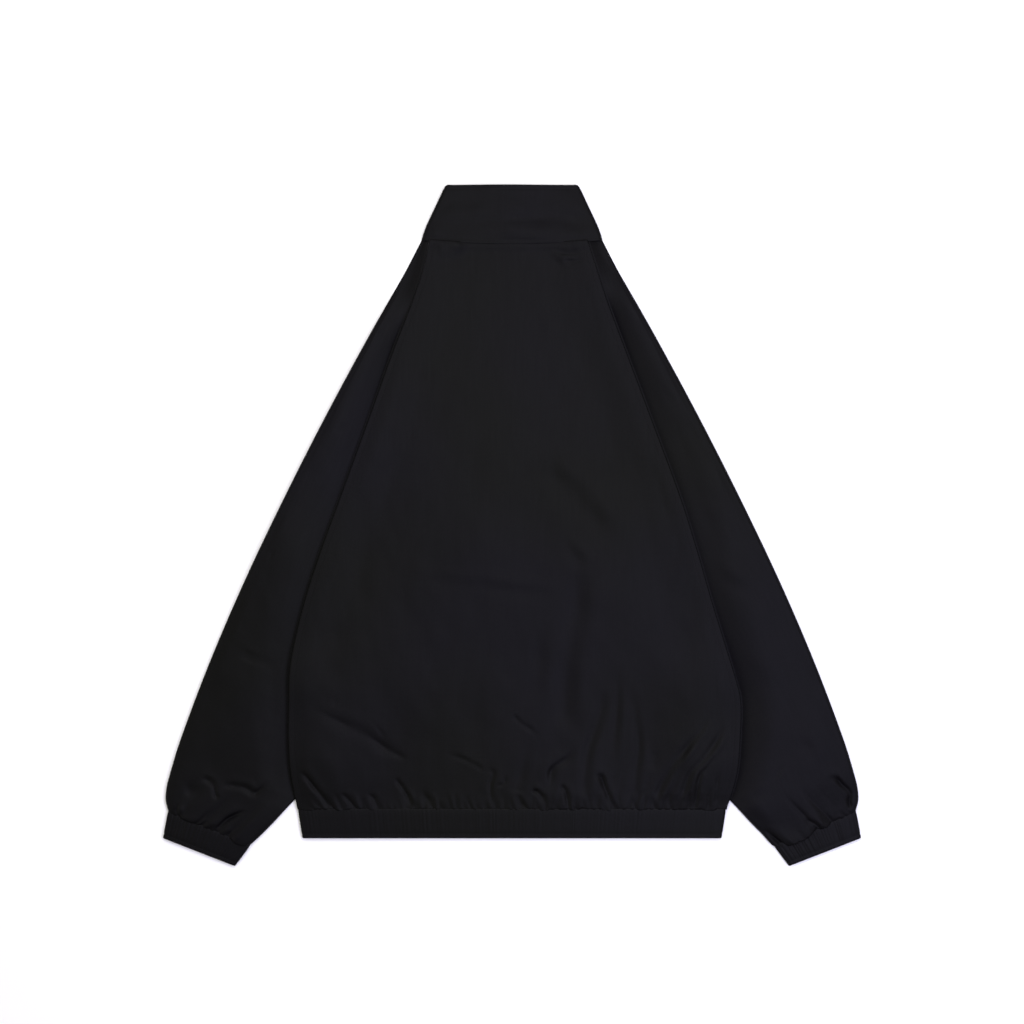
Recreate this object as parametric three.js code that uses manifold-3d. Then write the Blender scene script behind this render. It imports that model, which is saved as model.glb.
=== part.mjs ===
// A zipped track jacket with raglan sleeves, laid flat on its front with its back up.
// Millimetres, +Z up. +Y points to the collar, +X to the right of the view from above.
// The origin is under the middle of the outline, on the surface that the jacket lies on.
import * as THREE from 'three';
import * as BufferGeometryUtils from 'three/addons/utils/BufferGeometryUtils.js';
import Module from 'manifold-3d';

const wasm = await Module();
wasm.setup();

// Driving sizes of the garment
const backLength = 700; // neck seam at the centre back to the hem edge
const hemEdgeY = -367.6;
const neckSeamY = hemEdgeY + backLength - 0.9; // the seam is 0.9 lower than the collar's edge over it
const neckSeamRise = 3.5; // how much higher the seam is 100 mm from the centre
const frontNeck = { drop: 14, half: 84 }; // the front neckline dips below the back one
const collarTopY = 400.6;
const bandHeight = 34.6;
const bandTopY = hemEdgeY + bandHeight;
const bandHalf = { edge: 247.4, seam: 252.6 };
const seamGap = 0.3;
const bodyLowY = bandTopY + seamGap;
const slantGap = 0.35; // where a seam runs aslant
const slopeGap = 0.45; // where one wall climbs over another

// Wall thicknesses: the shell is one cloth, the collar is doubled, the casings hold elastic
const wallThick = { shell: 1.6, collar: 2.2, band: 3.0, cuff: 2.8, tape: 0.8 };

// Heights of the middle of each wall over the surface it lies on
const midHeight = {
  back: 5.8, collarBack: 6.7, bandBack: 6.4, sleeveSeam: 2.7, sleeveCrown: 5.9, cuffBack: 5.4,
};

const shellFloor = wallThick.shell / 2;
const closedEdge = 5; // the front edges stand this far from the centre of the zip

// Half widths of the body where the back panel's edge shows, on either side
const bodyEdge = [
  { y: -333, left: 252.5, right: 253 },
  { y: -293, left: 260, right: 264.5 },
  { y: -250, left: 263, right: 268.5 },
  { y: -205, left: 262.5, right: 269 },
  { y: -176, left: 262, right: 262 },
  { y: -146, left: 258, right: 253 },
  { y: -88, left: 244, right: 235 },
  { y: -29, left: 225, right: 218 },
  { y: 30, left: 203.5, right: 199.5 },
  { y: 118, left: 171.5, right: 167 },
  { y: 206, left: 140, right: 134 },
  { y: 265, left: 117, right: 112 },
  { y: 300, left: 105.5, right: 100.5 },
  { y: 336, left: 97.5, right: 89 },
];

// The outline of the sleeves: shoulder and outer arm, down to the cuff seam
const armOutline = [
  { y: -336, x: 404.5 },
  { y: -323, x: 407.6 },
  { y: -311, x: 407 },
  { y: -299, x: 404.5 },
  { y: -252, x: 390.2 },
  { y: -158, x: 354.7 },
  { y: -64, x: 314.2 },
  { y: 30, x: 269.4 },
  { y: 124, x: 221.8 },
  { y: 218, x: 171.2 },
  { y: 312, x: 118.2 },
  { y: 336, x: 105.8 },
];

// The underarm edge of the sleeve, tucked under the body and then out to the cuff
const underarmEdge = [
  { x: 239, y: -222 },
  { x: 223, y: -252 },
  { x: 220.5, y: -282 },
  { x: 234, y: -303.5 },
  { x: 255.5, y: -322.5 },
  { x: 282.4, y: -351.2 },
  { x: 297, y: -365.8 },
];

// Rows of the raglan seam that the body and the sleeves share, from underarm to neck
const raglanRows = [
  -196, -180, -160, -140, -115, -88, -58, -29, 0, 30, 60, 89, 118, 148, 177, 206, 236, 265, 295, 318,
];
const sleeveTopY = 334.5;
const underlap = 3; // the sleeve reaches this far in under the body's edge along the raglan seam

// Half widths of the collar
const collarOutline = [
  { y: 330, x: 106 },
  { y: 338, x: 106 },
  { y: 345, x: 103.8 },
  { y: 354, x: 100.4 },
  { y: 372, x: 92 },
  { y: 391, x: 83 },
  { y: 396, x: 80.6 },
  { y: 399, x: 78.3 },
  { y: 400.6, x: 75.4 },
];

// Ends of the cuff seam and of the cuff's opening edge
const cuffCorners = {
  seam: { outer: { x: 404.7, y: -336.2 }, inner: { x: 308.3, y: -376.2 } },
  mouth: { outer: { x: 410.6, y: -367.6 }, inner: { x: 325.9, y: -400.6 } },
};

// Large folds of the back panel: a ridge from one point to another, its height and half width
const backFolds = [
  { x1: -243, y1: -208, x2: -178, y2: -252, height: -0.9, half: 12 },
  { x1: -178, y1: -252, x2: -122, y2: -275, height: -1.1, half: 12 },
  { x1: -254, y1: -300, x2: -214, y2: -330, height: -1.6, half: 7 },
  { x1: -236, y1: -288, x2: -196, y2: -326, height: 1.2, half: 9 },
  { x1: -140, y1: -300, x2: -112, y2: -331, height: -1.5, half: 7 },
  { x1: -158, y1: -298, x2: -134, y2: -328, height: 1.1, half: 9 },
  { x1: 0, y1: -226, x2: 34, y2: -252, height: -0.9, half: 11 },
  { x1: 18, y1: -300, x2: 42, y2: -328, height: 1.3, half: 8 },
  { x1: 44, y1: -286, x2: 64, y2: -328, height: -1.4, half: 8 },
  { x1: 100, y1: -222, x2: 84, y2: -300, height: -1.3, half: 11 },
  { x1: 98, y1: -292, x2: 128, y2: -330, height: -1.6, half: 8 },
  { x1: 150, y1: -218, x2: 146, y2: -310, height: -1.0, half: 11 },
  { x1: 222, y1: -280, x2: 208, y2: -328, height: -1.3, half: 8 },
  { x1: 50, y1: -28, x2: 130, y2: -112, height: 0.9, half: 16 },
  { x1: 30, y1: -52, x2: 104, y2: -128, height: -0.9, half: 16 },
];

// Large folds of a sleeve near the cuff, by the distance from the inner edge and from the cuff
const sleeveFolds = [
  { across1: 0.86, along1: 34, across2: 0.8, along2: 4, height: 1.5, half: 9 },
  { across1: 0.7, along1: 30, across2: 0.62, along2: 6, height: -1.3, half: 8 },
  { across1: 0.56, along1: 26, across2: 0.46, along2: 2, height: 1.4, half: 9 },
  { across1: 0.34, along1: 22, across2: 0.3, along2: 3, height: -1.2, half: 8 },
  { across1: 0.2, along1: 18, across2: 0.16, along2: 3, height: 1.0, half: 9 },
  { across1: 0.8, along1: 62, across2: 0.42, along2: 58, height: -1.2, half: 11 },
];

const gathers = { band: 76, cuff: 20, height: 0.9 };

const clamp01 = (t) => Math.min(1, Math.max(0, t));
const lerp = (a, b, t) => a + (b - a) * t;

function ease(from, to, value) {
  const t = clamp01((value - from) / (to - from));
  return t * t * (3 - 2 * t);
}

// Smooth reading of a table whose rows are sorted by the column byName
function read(table, byName, column, at) {
  let i = 0;
  while (i < table.length - 2 && table[i + 1][byName] < at) i += 1;
  const a = table[i];
  const b = table[i + 1];
  const before = table[Math.max(0, i - 1)];
  const after = table[Math.min(table.length - 1, i + 2)];
  const span = b[byName] - a[byName];
  const t = clamp01((at - a[byName]) / span);
  const slopeA = ((b[column] - before[column]) / (b[byName] - before[byName])) * span;
  const slopeB = ((after[column] - a[column]) / (after[byName] - a[byName])) * span;
  const t2 = t * t;
  const t3 = t2 * t;
  return (2 * t3 - 3 * t2 + 1) * a[column] + (t3 - 2 * t2 + t) * slopeA
    + (3 * t2 - 2 * t3) * b[column] + (t3 - t2) * slopeB;
}

const edgeAt = (side, y) => read(bodyEdge, 'y', side, y);
const neckSeam = (x) => neckSeamY + neckSeamRise * (x / 100) ** 2;

function frontNeckSeam(x) {
  const t = clamp01(Math.abs(x) / frontNeck.half);
  return neckSeam(x) - frontNeck.drop * (1 - t * t) ** 2;
}

// Height of a soft ridge that runs from one point to another and fades at its ends
function ridge(x, y, fold) {
  const dx = fold.x2 - fold.x1;
  const dy = fold.y2 - fold.y1;
  const along = ((x - fold.x1) * dx + (y - fold.y1) * dy) / (dx * dx + dy * dy);
  const t = clamp01(along);
  const away = Math.hypot(x - fold.x1 - dx * t, y - fold.y1 - dy * t);
  return fold.height * Math.exp(-((away / fold.half) ** 2));
}

const alongY = new THREE.Vector3(0, 1, 0);
const alongZ = new THREE.Vector3(0, 0, 1);

// A cloth wall round a grid of points on its middle. Columns crossed with rows give the outer side.
// raised(row, column) lifts the outer points above the plain wall, and the first and last rows and
// columns end square to the directions in ends, so that they stay clear of the piece they meet.
// A mirrored grid needs its outer side named, as its rows and columns cross the other way.
function clothWall(grid, thickness, { ring = false, raised = null, ends = {}, mirrored = false } = {}) {
  const rows = grid.length;
  const columns = grid[0].length;
  const outer = [];
  const inner = [];
  for (let j = 0; j < rows; j += 1) {
    for (let i = 0; i < columns; i += 1) {
      const left = grid[j][ring ? (i + columns - 1) % columns : Math.max(0, i - 1)];
      const right = grid[j][ring ? (i + 1) % columns : Math.min(columns - 1, i + 1)];
      const low = grid[Math.max(0, j - 1)][i];
      const high = grid[Math.min(rows - 1, j + 1)][i];
      const across = new THREE.Vector3().subVectors(right, left);
      const along = new THREE.Vector3().subVectors(high, low);
      const normal = across.cross(along).normalize();
      if (mirrored) normal.negate();
      const squares = [
        j === 0 && ends.firstRow,
        j === rows - 1 && ends.lastRow,
        (i === 0 || i === columns - 1) && ends.columns,
      ];
      for (const square of squares) {
        if (square) normal.addScaledVector(square, -normal.dot(square)).normalize();
      }
      const lift = thickness / 2 + (raised ? raised(j, i) : 0);
      outer.push(grid[j][i].clone().addScaledVector(normal, lift));
      inner.push(grid[j][i].clone().addScaledVector(normal, -thickness / 2));
    }
  }
  const index = [];
  const at = (j, i) => j * columns + (i % columns);
  const back = rows * columns;
  const quad = (a, b, c, d) => index.push(a, b, c, a, c, d);
  const lastColumn = ring ? columns : columns - 1;
  for (let j = 0; j < rows - 1; j += 1) {
    for (let i = 0; i < lastColumn; i += 1) {
      quad(at(j, i), at(j, i + 1), at(j + 1, i + 1), at(j + 1, i));
      quad(back + at(j, i), back + at(j + 1, i), back + at(j + 1, i + 1), back + at(j, i + 1));
    }
  }
  const top = rows - 1;
  for (let i = 0; i < lastColumn; i += 1) {
    quad(at(0, i), back + at(0, i), back + at(0, i + 1), at(0, i + 1));
    quad(at(top, i), at(top, i + 1), back + at(top, i + 1), back + at(top, i));
  }
  if (!ring) {
    const end = columns - 1;
    for (let j = 0; j < rows - 1; j += 1) {
      quad(at(j, 0), at(j + 1, 0), back + at(j + 1, 0), back + at(j, 0));
      quad(at(j, end), back + at(j, end), back + at(j + 1, end), at(j + 1, end));
    }
  }
  const geometry = new THREE.BufferGeometry();
  const positions = [...outer, ...inner].flatMap((p) => [p.x, p.y, p.z]);
  geometry.setAttribute('position', new THREE.Float32BufferAttribute(positions, 3));
  geometry.setIndex(index);
  return facingOut(geometry);
}

// Turns the faces round where the closed mesh is inside out, as a mirrored piece is
function facingOut(geometry) {
  const p = geometry.getAttribute('position');
  const index = geometry.getIndex().array;
  const [a, b, c] = [new THREE.Vector3(), new THREE.Vector3(), new THREE.Vector3()];
  let volume = 0;
  for (let i = 0; i < index.length; i += 3) {
    a.fromBufferAttribute(p, index[i]);
    b.fromBufferAttribute(p, index[i + 1]);
    c.fromBufferAttribute(p, index[i + 2]);
    volume += a.dot(b.cross(c));
  }
  if (volume < 0) {
    for (let i = 0; i < index.length; i += 3) [index[i], index[i + 1]] = [index[i + 1], index[i]];
  }
  return geometry;
}

// The front panel lies on the surface. Between two distances in from its side it rises over the tucked
// sleeve, from startY down to fullY, and at lowY, where the sleeve comes out, it comes down again.
const tuck = {
  rise: wallThick.shell * 2 + seamGap + slopeGap,
  inner: 68,
  outer: 46,
  startY: -140,
  fullY: -180,
  lowY: -322.5,
};

function frontMid(x, y, side) {
  const near = ease(edgeAt(side, y) - tuck.inner, edgeAt(side, y) - tuck.outer, Math.abs(x));
  const rise = tuck.rise * ease(tuck.startY, tuck.fullY, y) * (1 - ease(tuck.lowY, bodyLowY, y));
  const toBand = ((wallThick.band - wallThick.shell) / 2) * ease(tuck.lowY, bodyLowY, y);
  return shellFloor + rise * near + toBand;
}

// The back panel lies over the front, higher at its lower sides and where it blouses over the band.
// Its folds die out before the rolled sides.
const blouse = { height: 1.5, crestY: -316, fadeY: -236 };
const sideSwell = { height: 2.5, inner: 110, outer: 40, startY: -120, fullY: -200 };
const foldFade = { inner: 26, outer: 5 };

function backMid(x, y) {
  const side = x < 0 ? 'left' : 'right';
  const inset = edgeAt(side, y) - Math.abs(x);
  const offSeam = ease(bodyLowY, blouse.crestY, y);
  const nearSide = ease(sideSwell.inner, sideSwell.outer, inset);
  const swell = sideSwell.height * nearSide * ease(sideSwell.startY, sideSwell.fullY, y);
  const puff = blouse.height * ease(blouse.fadeY, blouse.crestY, y);
  const folds = backFolds.reduce((sum, fold) => sum + ridge(x, y, fold), 0);
  const plain = lerp(midHeight.bandBack, midHeight.back, offSeam);
  return plain + offSeam * (swell + puff + folds * ease(foldFade.outer, foldFade.inner, inset));
}

// The rolled edge of the back panel ends just over the sleeve, or over the front panel where that is higher
function rollEndAt(side, y) {
  const overSleeve = wallThick.shell * 2 + seamGap * 2;
  const overFront = frontMid(edgeAt(side, y), y, side) + wallThick.shell / 2 + slopeGap;
  return y < tuck.lowY ? overFront : Math.max(overSleeve, overFront);
}

const rollWidth = 4.5;
const rollSteps = 3;
const bodyLowRows = [bodyLowY, tuck.lowY, -314, -304, -291, -276, -258, -238, -217];

function backPanel() {
  const flatColumns = 30;
  const ys = [...bodyLowRows, ...raglanRows, sleeveTopY];
  const grid = ys.map((y, j) => {
    const top = j === ys.length - 1;
    const points = [];
    const place = (x, z) => points.push(new THREE.Vector3(x, top ? neckSeam(x) - seamGap / 2 : y, z));
    const flatHalf = (side) => edgeAt(side, y) - wallThick.shell / 2 - rollWidth;
    const roll = (side, k) => {
      const sign = side === 'left' ? -1 : 1;
      const turn = (Math.PI / 2) * (k / rollSteps);
      const end = rollEndAt(side, y);
      const crest = backMid(sign * flatHalf(side), y);
      place(sign * (flatHalf(side) + rollWidth * Math.sin(turn)), end + (crest - end) * Math.cos(turn));
    };
    for (let k = rollSteps; k > 0; k -= 1) roll('left', k);
    for (let i = 0; i <= flatColumns; i += 1) {
      const f = (2 * i) / flatColumns - 1;
      const x = f * flatHalf(f < 0 ? 'left' : 'right');
      place(x, backMid(x, y));
    }
    for (let k = 1; k <= rollSteps; k += 1) roll('right', k);
    return points;
  });
  return clothWall(grid, wallThick.shell, { ends: { firstRow: alongY, lastRow: alongY, columns: alongZ } });
}

// Columns of a front panel: even at the neck, where the collar shares them, and below the underarm
// gathered at the rise over the sleeve
function frontColumns(side, y) {
  const edge = edgeAt(side, y);
  const end = edge - lerp(underlap + slantGap, 0.2, ease(tuck.fullY, raglanRows[0], y));
  const plain = 5;
  const tuckInsets = [tuck.inner, (tuck.inner + tuck.outer) / 2, tuck.outer, tuck.outer / 2];
  const tucked = tuckInsets.map((inset) => edge - inset);
  const steps = plain + tucked.length;
  const columns = [];
  for (let i = 0; i <= steps; i += 1) {
    const even = lerp(closedEdge, end, i / steps);
    const low = i < plain ? lerp(closedEdge, tucked[0], i / plain) : tucked[i - plain] ?? end;
    columns.push(lerp(even, low, ease(tuck.startY + 100, tuck.startY, y)));
  }
  return columns;
}

function frontPanel(side) {
  const sign = side === 'left' ? -1 : 1;
  const ys = [...bodyLowRows, ...raglanRows, sleeveTopY];
  const grid = ys.map((y, j) => frontColumns(side, y).map((x) => {
    const top = j === ys.length - 1;
    const dip = (frontNeckSeam(x) - neckSeam(x)) * ease(150, sleeveTopY, y);
    return new THREE.Vector3(sign * x, top ? frontNeckSeam(x) - seamGap / 2 : y + dip, frontMid(x, y, side));
  }));
  return clothWall(grid, wallThick.shell, { ends: { firstRow: alongY, lastRow: alongY } });
}

// Flattened tubes turn back in a round fold, and a sleeve's two walls meet at its underarm seam
const foldWidth = 3.5;
const foldSteps = 4;

// The cuff seam's direction, and the direction square to it that points up the arm
const cuffAngle = Math.atan2(
  cuffCorners.seam.outer.y - cuffCorners.seam.inner.y,
  cuffCorners.seam.outer.x - cuffCorners.seam.inner.x,
);
const upArm = { x: -Math.sin(cuffAngle), y: Math.cos(cuffAngle) };
const fullTiltY = 240; // below this the rows across the sleeve run as the cuff does
const bodyShadow = { least: 2, past: 1.5, step: 0.5 }; // the sleeve stays low until just past the body's edge

// Rows across a sleeve from the cuff seam to the neck: a point on the inner edge, one on the outline
function sleeveStations(side) {
  const top = { x: edgeAt(side, sleeveTopY) - underlap, y: sleeveTopY };
  const raglan = raglanRows.map((y) => ({ x: edgeAt(side, y) - underlap, y })).reverse();
  const stations = [top, ...raglan, ...underarmEdge].map((inner) => {
    const tilt = cuffAngle * ease(sleeveTopY, fullTiltY, inner.y);
    let y = inner.y;
    for (let round = 0; round < 30; round += 1) {
      y = inner.y + Math.tan(tilt) * (read(armOutline, 'y', 'x', y) - inner.x);
    }
    return { inner, outer: { x: read(armOutline, 'y', 'x', y), y } };
  });
  const { seam } = cuffCorners;
  const offSeam = (point) => ({ x: point.x + upArm.x * seamGap, y: point.y + upArm.y * seamGap });
  stations.push({ inner: offSeam(seam.inner), outer: offSeam(seam.outer) });
  return stations.reverse().map((station) => measured(station, side));
}

// Adds a station's width, its distance from the cuff seam and how far the body covers it
function measured({ inner, outer }, side) {
  const dx = outer.x - inner.x;
  const dy = outer.y - inner.y;
  const width = Math.hypot(dx, dy);
  const { seam } = cuffCorners;
  const fromSeam = (point, end) => (point.x - end.x) * upArm.x + (point.y - end.y) * upArm.y;
  const toCuff = (fromSeam(inner, seam.inner) + fromSeam(outer, seam.outer)) / 2;
  let covered = bodyShadow.least;
  const pastEdge = () => inner.x + (dx * covered) / width - edgeAt(side, inner.y + (dy * covered) / width);
  while (inner.y > bandTopY && pastEdge() < bodyShadow.past) covered += bodyShadow.step;
  return { inner, dx, dy, width, toCuff, covered };
}

// The sleeve's upper wall lies low beside the body, rises to its crown and sinks a little to its outer fold
const crownWidth = { none: 4, full: 60 };
const riseLength = { atCuff: 9, most: 34, share: 0.45, nearCuff: 20, farFromCuff: 80 };
const outerDrop = { share: 0.3, from: 0.8 };
const cuffPuff = { height: 1.7, crest: 14, fade: 46, seam: 10 };

function sleeveMid({ width, toCuff, covered }, a) {
  const plainLength = Math.min(riseLength.most, (width - covered) * riseLength.share);
  const offCuff = ease(riseLength.nearCuff, riseLength.farFromCuff, toCuff);
  const rise = ease(covered, covered + lerp(riseLength.atCuff, plainLength, offCuff), a);
  const toFold = 1 - outerDrop.share * ease(width * outerDrop.from, width - foldWidth, a);
  const fullCrown = midHeight.sleeveCrown - midHeight.sleeveSeam;
  const crown = fullCrown * ease(crownWidth.none, crownWidth.full, width) * toFold;
  const offSeam = ease(0, cuffPuff.seam, toCuff);
  const puff = cuffPuff.height * ease(cuffPuff.fade, cuffPuff.crest, toCuff) * offSeam;
  const atCuff = (midHeight.cuffBack - midHeight.sleeveSeam) - crown;
  const folds = sleeveFolds.reduce((sum, fold) => sum + ridge(a, toCuff, {
    x1: fold.across1 * width,
    y1: fold.along1,
    x2: fold.across2 * width,
    y2: fold.along2,
    height: fold.height,
    half: fold.half,
  }), 0);
  return midHeight.sleeveSeam + rise * (crown + puff + atCuff * (1 - offSeam) + folds * offSeam);
}

function sleeve(side) {
  const sign = side === 'left' ? -1 : 1;
  const upper = 11;
  const lower = 3;
  const stations = sleeveStations(side);
  const grid = stations.map((station, j) => {
    const { inner, dx, dy, width, covered } = station;
    const atNeck = j === stations.length - 1;
    const flat = width - wallThick.shell / 2 - foldWidth;
    const marks = [0, covered / 2];
    for (let i = 0; i <= upper; i += 1) marks.push(lerp(covered, flat, i / upper));
    const path = marks.map((a) => ({ a, z: sleeveMid(station, a) }));
    const crest = sleeveMid(station, flat);
    for (let k = 1; k <= foldSteps; k += 1) {
      const turn = Math.PI * (k / foldSteps);
      const z = (crest + shellFloor) / 2 + ((crest - shellFloor) / 2) * Math.cos(turn);
      path.push({ a: flat + foldWidth * Math.sin(turn), z });
    }
    for (let i = 1; i <= lower; i += 1) path.push({ a: lerp(flat, 0, i / lower), z: shellFloor });
    return path.map(({ a, z }) => {
      const x = inner.x + (dx * a) / width;
      const y = inner.y + (dy * a) / width;
      return new THREE.Vector3(sign * x, atNeck ? neckSeam(x) - seamGap / 2 : y, z);
    });
  });
  const ends = { firstRow: new THREE.Vector3(sign * upArm.x, upArm.y, 0), lastRow: alongY };
  return clothWall(grid, wallThick.shell, { ends });
}

// The zip stands a little off the surface near its slider, and the collar front rises with it
const zipRise = { height: 1.5, lowY: 318, highY: 345, flatHalf: 20, half: 48 };
const slider = {
  y: 383,
  length: 12,
  halfWidth: 4.2,
  lowShare: 0.78, // the half width at its lower end, as a share
  topShare: 0.3, // and at the flat of its top
  plate: 0.8,
  play: 0.3,
  neck: { width: 2.4, depth: 2.2, above: 4.6 },
};
const sliderSwell = { height: 1.3, half: 28, fadeY: 338, lowY: 352 }; // the collar's back over the slider

function zipLift(x, y) {
  const across = 1 - ease(zipRise.flatHalf, zipRise.half, Math.abs(x));
  return zipRise.height * ease(zipRise.lowY, zipRise.highY, y) * across;
}

function collar() {
  const rows = [0, 0.1, 0.3, 0.52, 0.75, 0.92, 0.975, 1];
  const upper = 16;
  const floor = wallThick.collar / 2;
  const grid = rows.map((v) => {
    const sideY = lerp(neckSeam(collarOutline[0].x) + seamGap / 2, collarTopY, v);
    const reach = read(collarOutline, 'y', 'x', sideY) - wallThick.collar / 2;
    const flat = reach - foldWidth;
    const fullFlat = collarOutline[0].x - wallThick.collar / 2 - foldWidth;
    const lowerColumns = (side) => [...frontColumns(side, sleeveTopY), fullFlat]
      .map((x) => closedEdge + ((x - closedEdge) * (flat - closedEdge)) / (fullFlat - closedEdge));
    const place = (x, z, front) => {
      const low = (front ? frontNeckSeam(x) : neckSeam(x)) + slantGap - seamGap / 2;
      return new THREE.Vector3(x, lerp(low, collarTopY, v), z);
    };
    const under = (x) => {
      const y = lerp(frontNeckSeam(x), collarTopY, v);
      return place(x, floor + zipLift(x, y), true);
    };
    const over = (x) => {
      const y = lerp(neckSeam(x), collarTopY, v);
      const along = ease(sliderSwell.fadeY, sliderSwell.lowY, y);
      const swell = sliderSwell.height * along * Math.exp(-((x / sliderSwell.half) ** 2));
      return place(x, midHeight.collarBack + swell, false);
    };
    const points = [];
    for (const x of lowerColumns('left')) points.push(under(-x));
    const fold = (sign, k) => {
      const turn = Math.PI * (k / foldSteps);
      const x = sign * (flat + foldWidth * Math.sin(turn));
      const z = (midHeight.collarBack + floor) / 2 - ((midHeight.collarBack - floor) / 2) * Math.cos(turn);
      points.push(place(x, z, false));
    };
    for (let k = 1; k < foldSteps; k += 1) fold(-1, k);
    for (let i = 0; i <= upper; i += 1) points.push(over(lerp(-flat, flat, i / upper)));
    for (let k = foldSteps - 1; k > 0; k -= 1) fold(1, k);
    for (const x of lowerColumns('right').reverse()) points.push(under(x));
    return points;
  });
  return clothWall(grid, wallThick.collar, { ends: { firstRow: alongY, lastRow: alongY } });
}

// Gathers are uneven in height, and rise from both edges of a casing to its middle
function gatherHeight(n, share) {
  const uneven = 0.8 + 0.2 * Math.sin(n * 2.4) * Math.sin(n * 0.9);
  return gathers.height * uneven * share;
}

const casingRows = [
  { v: 0, share: 0.35 },
  { v: 0.45, share: 1 },
  { v: 1, share: 0.6 },
];

function hemBand() {
  const lower = 6;
  const upper = gathers.band * 2;
  const floor = wallThick.band / 2;
  const firstGather = lower + foldSteps;
  const grid = casingRows.map(({ v }) => {
    const y = lerp(hemEdgeY, bandTopY, v);
    const flat = lerp(bandHalf.edge, bandHalf.seam, v) - wallThick.band / 2 - foldWidth;
    const points = [];
    const place = (x, z) => points.push(new THREE.Vector3(x, y, z));
    const fold = (sign, k) => {
      const turn = Math.PI * (k / foldSteps);
      const z = (midHeight.bandBack + floor) / 2 - ((midHeight.bandBack - floor) / 2) * Math.cos(turn);
      place(sign * (flat + foldWidth * Math.sin(turn)), z);
    };
    for (let i = 0; i <= lower; i += 1) place(-lerp(closedEdge, flat, i / lower), floor);
    for (let k = 1; k < foldSteps; k += 1) fold(-1, k);
    for (let i = 0; i <= upper; i += 1) place(lerp(-flat, flat, i / upper), midHeight.bandBack);
    for (let k = foldSteps - 1; k > 0; k -= 1) fold(1, k);
    for (let i = lower; i >= 0; i -= 1) place(lerp(closedEdge, flat, i / lower), floor);
    return points;
  });
  const raised = (j, i) => {
    const n = i - firstGather;
    const onBack = n > 0 && n < upper;
    return onBack && n % 2 === 1 ? gatherHeight(n, casingRows[j].share) : 0;
  };
  return clothWall(grid, wallThick.band, { raised, ends: { firstRow: alongY, lastRow: alongY } });
}

function cuff(side) {
  const sign = side === 'left' ? -1 : 1;
  const lower = 4;
  const upper = gathers.cuff * 2;
  const floor = wallThick.cuff / 2;
  const half = (midHeight.cuffBack - floor) / 2;
  const { seam, mouth } = cuffCorners;
  const grid = casingRows.map(({ v }) => {
    const inner = { x: lerp(mouth.inner.x, seam.inner.x, v), y: lerp(mouth.inner.y, seam.inner.y, v) };
    const outer = { x: lerp(mouth.outer.x, seam.outer.x, v), y: lerp(mouth.outer.y, seam.outer.y, v) };
    const width = Math.hypot(outer.x - inner.x, outer.y - inner.y);
    const low = wallThick.cuff / 2 + foldWidth;
    const high = width - low;
    const points = [];
    const place = (a, z) => points.push(new THREE.Vector3(
      sign * lerp(inner.x, outer.x, a / width),
      lerp(inner.y, outer.y, a / width),
      z,
    ));
    const fold = (a, way, k) => {
      const turn = Math.PI * (k / foldSteps);
      place(a + way * foldWidth * Math.sin(turn), floor + half + way * half * Math.cos(turn));
    };
    for (let i = 0; i <= upper; i += 1) place(lerp(low, high, i / upper), midHeight.cuffBack);
    for (let k = 1; k < foldSteps; k += 1) fold(high, 1, k);
    for (let i = 0; i <= lower; i += 1) place(lerp(high, low, i / lower), floor);
    for (let k = 1; k < foldSteps; k += 1) fold(low, -1, k);
    return points;
  });
  const raised = (j, i) => (i > 0 && i < upper && i % 2 === 1 ? gatherHeight(i, casingRows[j].share) : 0);
  const square = new THREE.Vector3(sign * upArm.x, upArm.y, 0);
  const ends = { firstRow: square, lastRow: square };
  return clothWall(grid, wallThick.cuff, { ring: true, raised, ends, mirrored: side === 'left' });
}

// The zip: the tapes are sewn inside the front edges, and the chain closes the gap between them
const tapeGap = 0.4;
const tape = { inner: 3.1, outer: 16, lowY: -358.5, highY: 400.2 };
const chain = { half: 2.8, thick: 1.6, lowY: -358.5, highY: slider.y + 3 };

// The tapes lie on the band, then on the front panels and then on the collar
const bandStep = { lowY: -330, highY: -316 };
const collarStep = { lowY: 298, highY: 314 };

function tapeMid(y) {
  const pastBand = ease(bandStep.lowY, bandStep.highY, y);
  const pastFront = ease(collarStep.lowY, collarStep.highY, y);
  const under = lerp(lerp(wallThick.band, wallThick.shell, pastBand), wallThick.collar, pastFront);
  return under + tapeGap + wallThick.tape / 2 + zipLift(0, y);
}

const zipRows = [-342, -332, -326, -321, -316, -200, -60, 80, 220, 298, 306, 314, 324, 332, 340, 350, 375];

function zipTape(side) {
  const sign = side === 'left' ? -1 : 1;
  const ys = [tape.lowY, ...zipRows, tape.highY];
  const grid = ys.map((y) => [tape.inner, tape.outer].map((x) => new THREE.Vector3(sign * x, y, tapeMid(y))));
  return clothWall(grid, wallThick.tape);
}

function zipChain() {
  const ys = [chain.lowY, ...zipRows, chain.highY];
  const grid = ys.map((y) => [-1, 1].map((s) => new THREE.Vector3(s * chain.half, y, tapeMid(y))));
  return clothWall(grid, chain.thick);
}

const sliderMid = tapeMid(slider.y);
const plateOffset = chain.thick / 2 + slider.play;
const staple = { half: 1.1, reach: 2.8, leg: 0.8, thick: 0.8, room: 1.6 };
const pull = {
  half: 3.4, tipHalf: 2.9, tipRound: 3, length: 26, bar: 1.0, thick: 1.0, hole: { half: 1.9, length: 4.5 },
};
const pullPivotZ = sliderMid - plateOffset - slider.plate - staple.room / 2;

function box(width, depth, height, x, y, z) {
  const geometry = new THREE.BoxGeometry(width, depth, height);
  geometry.translate(x, y, z);
  return geometry;
}

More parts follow.
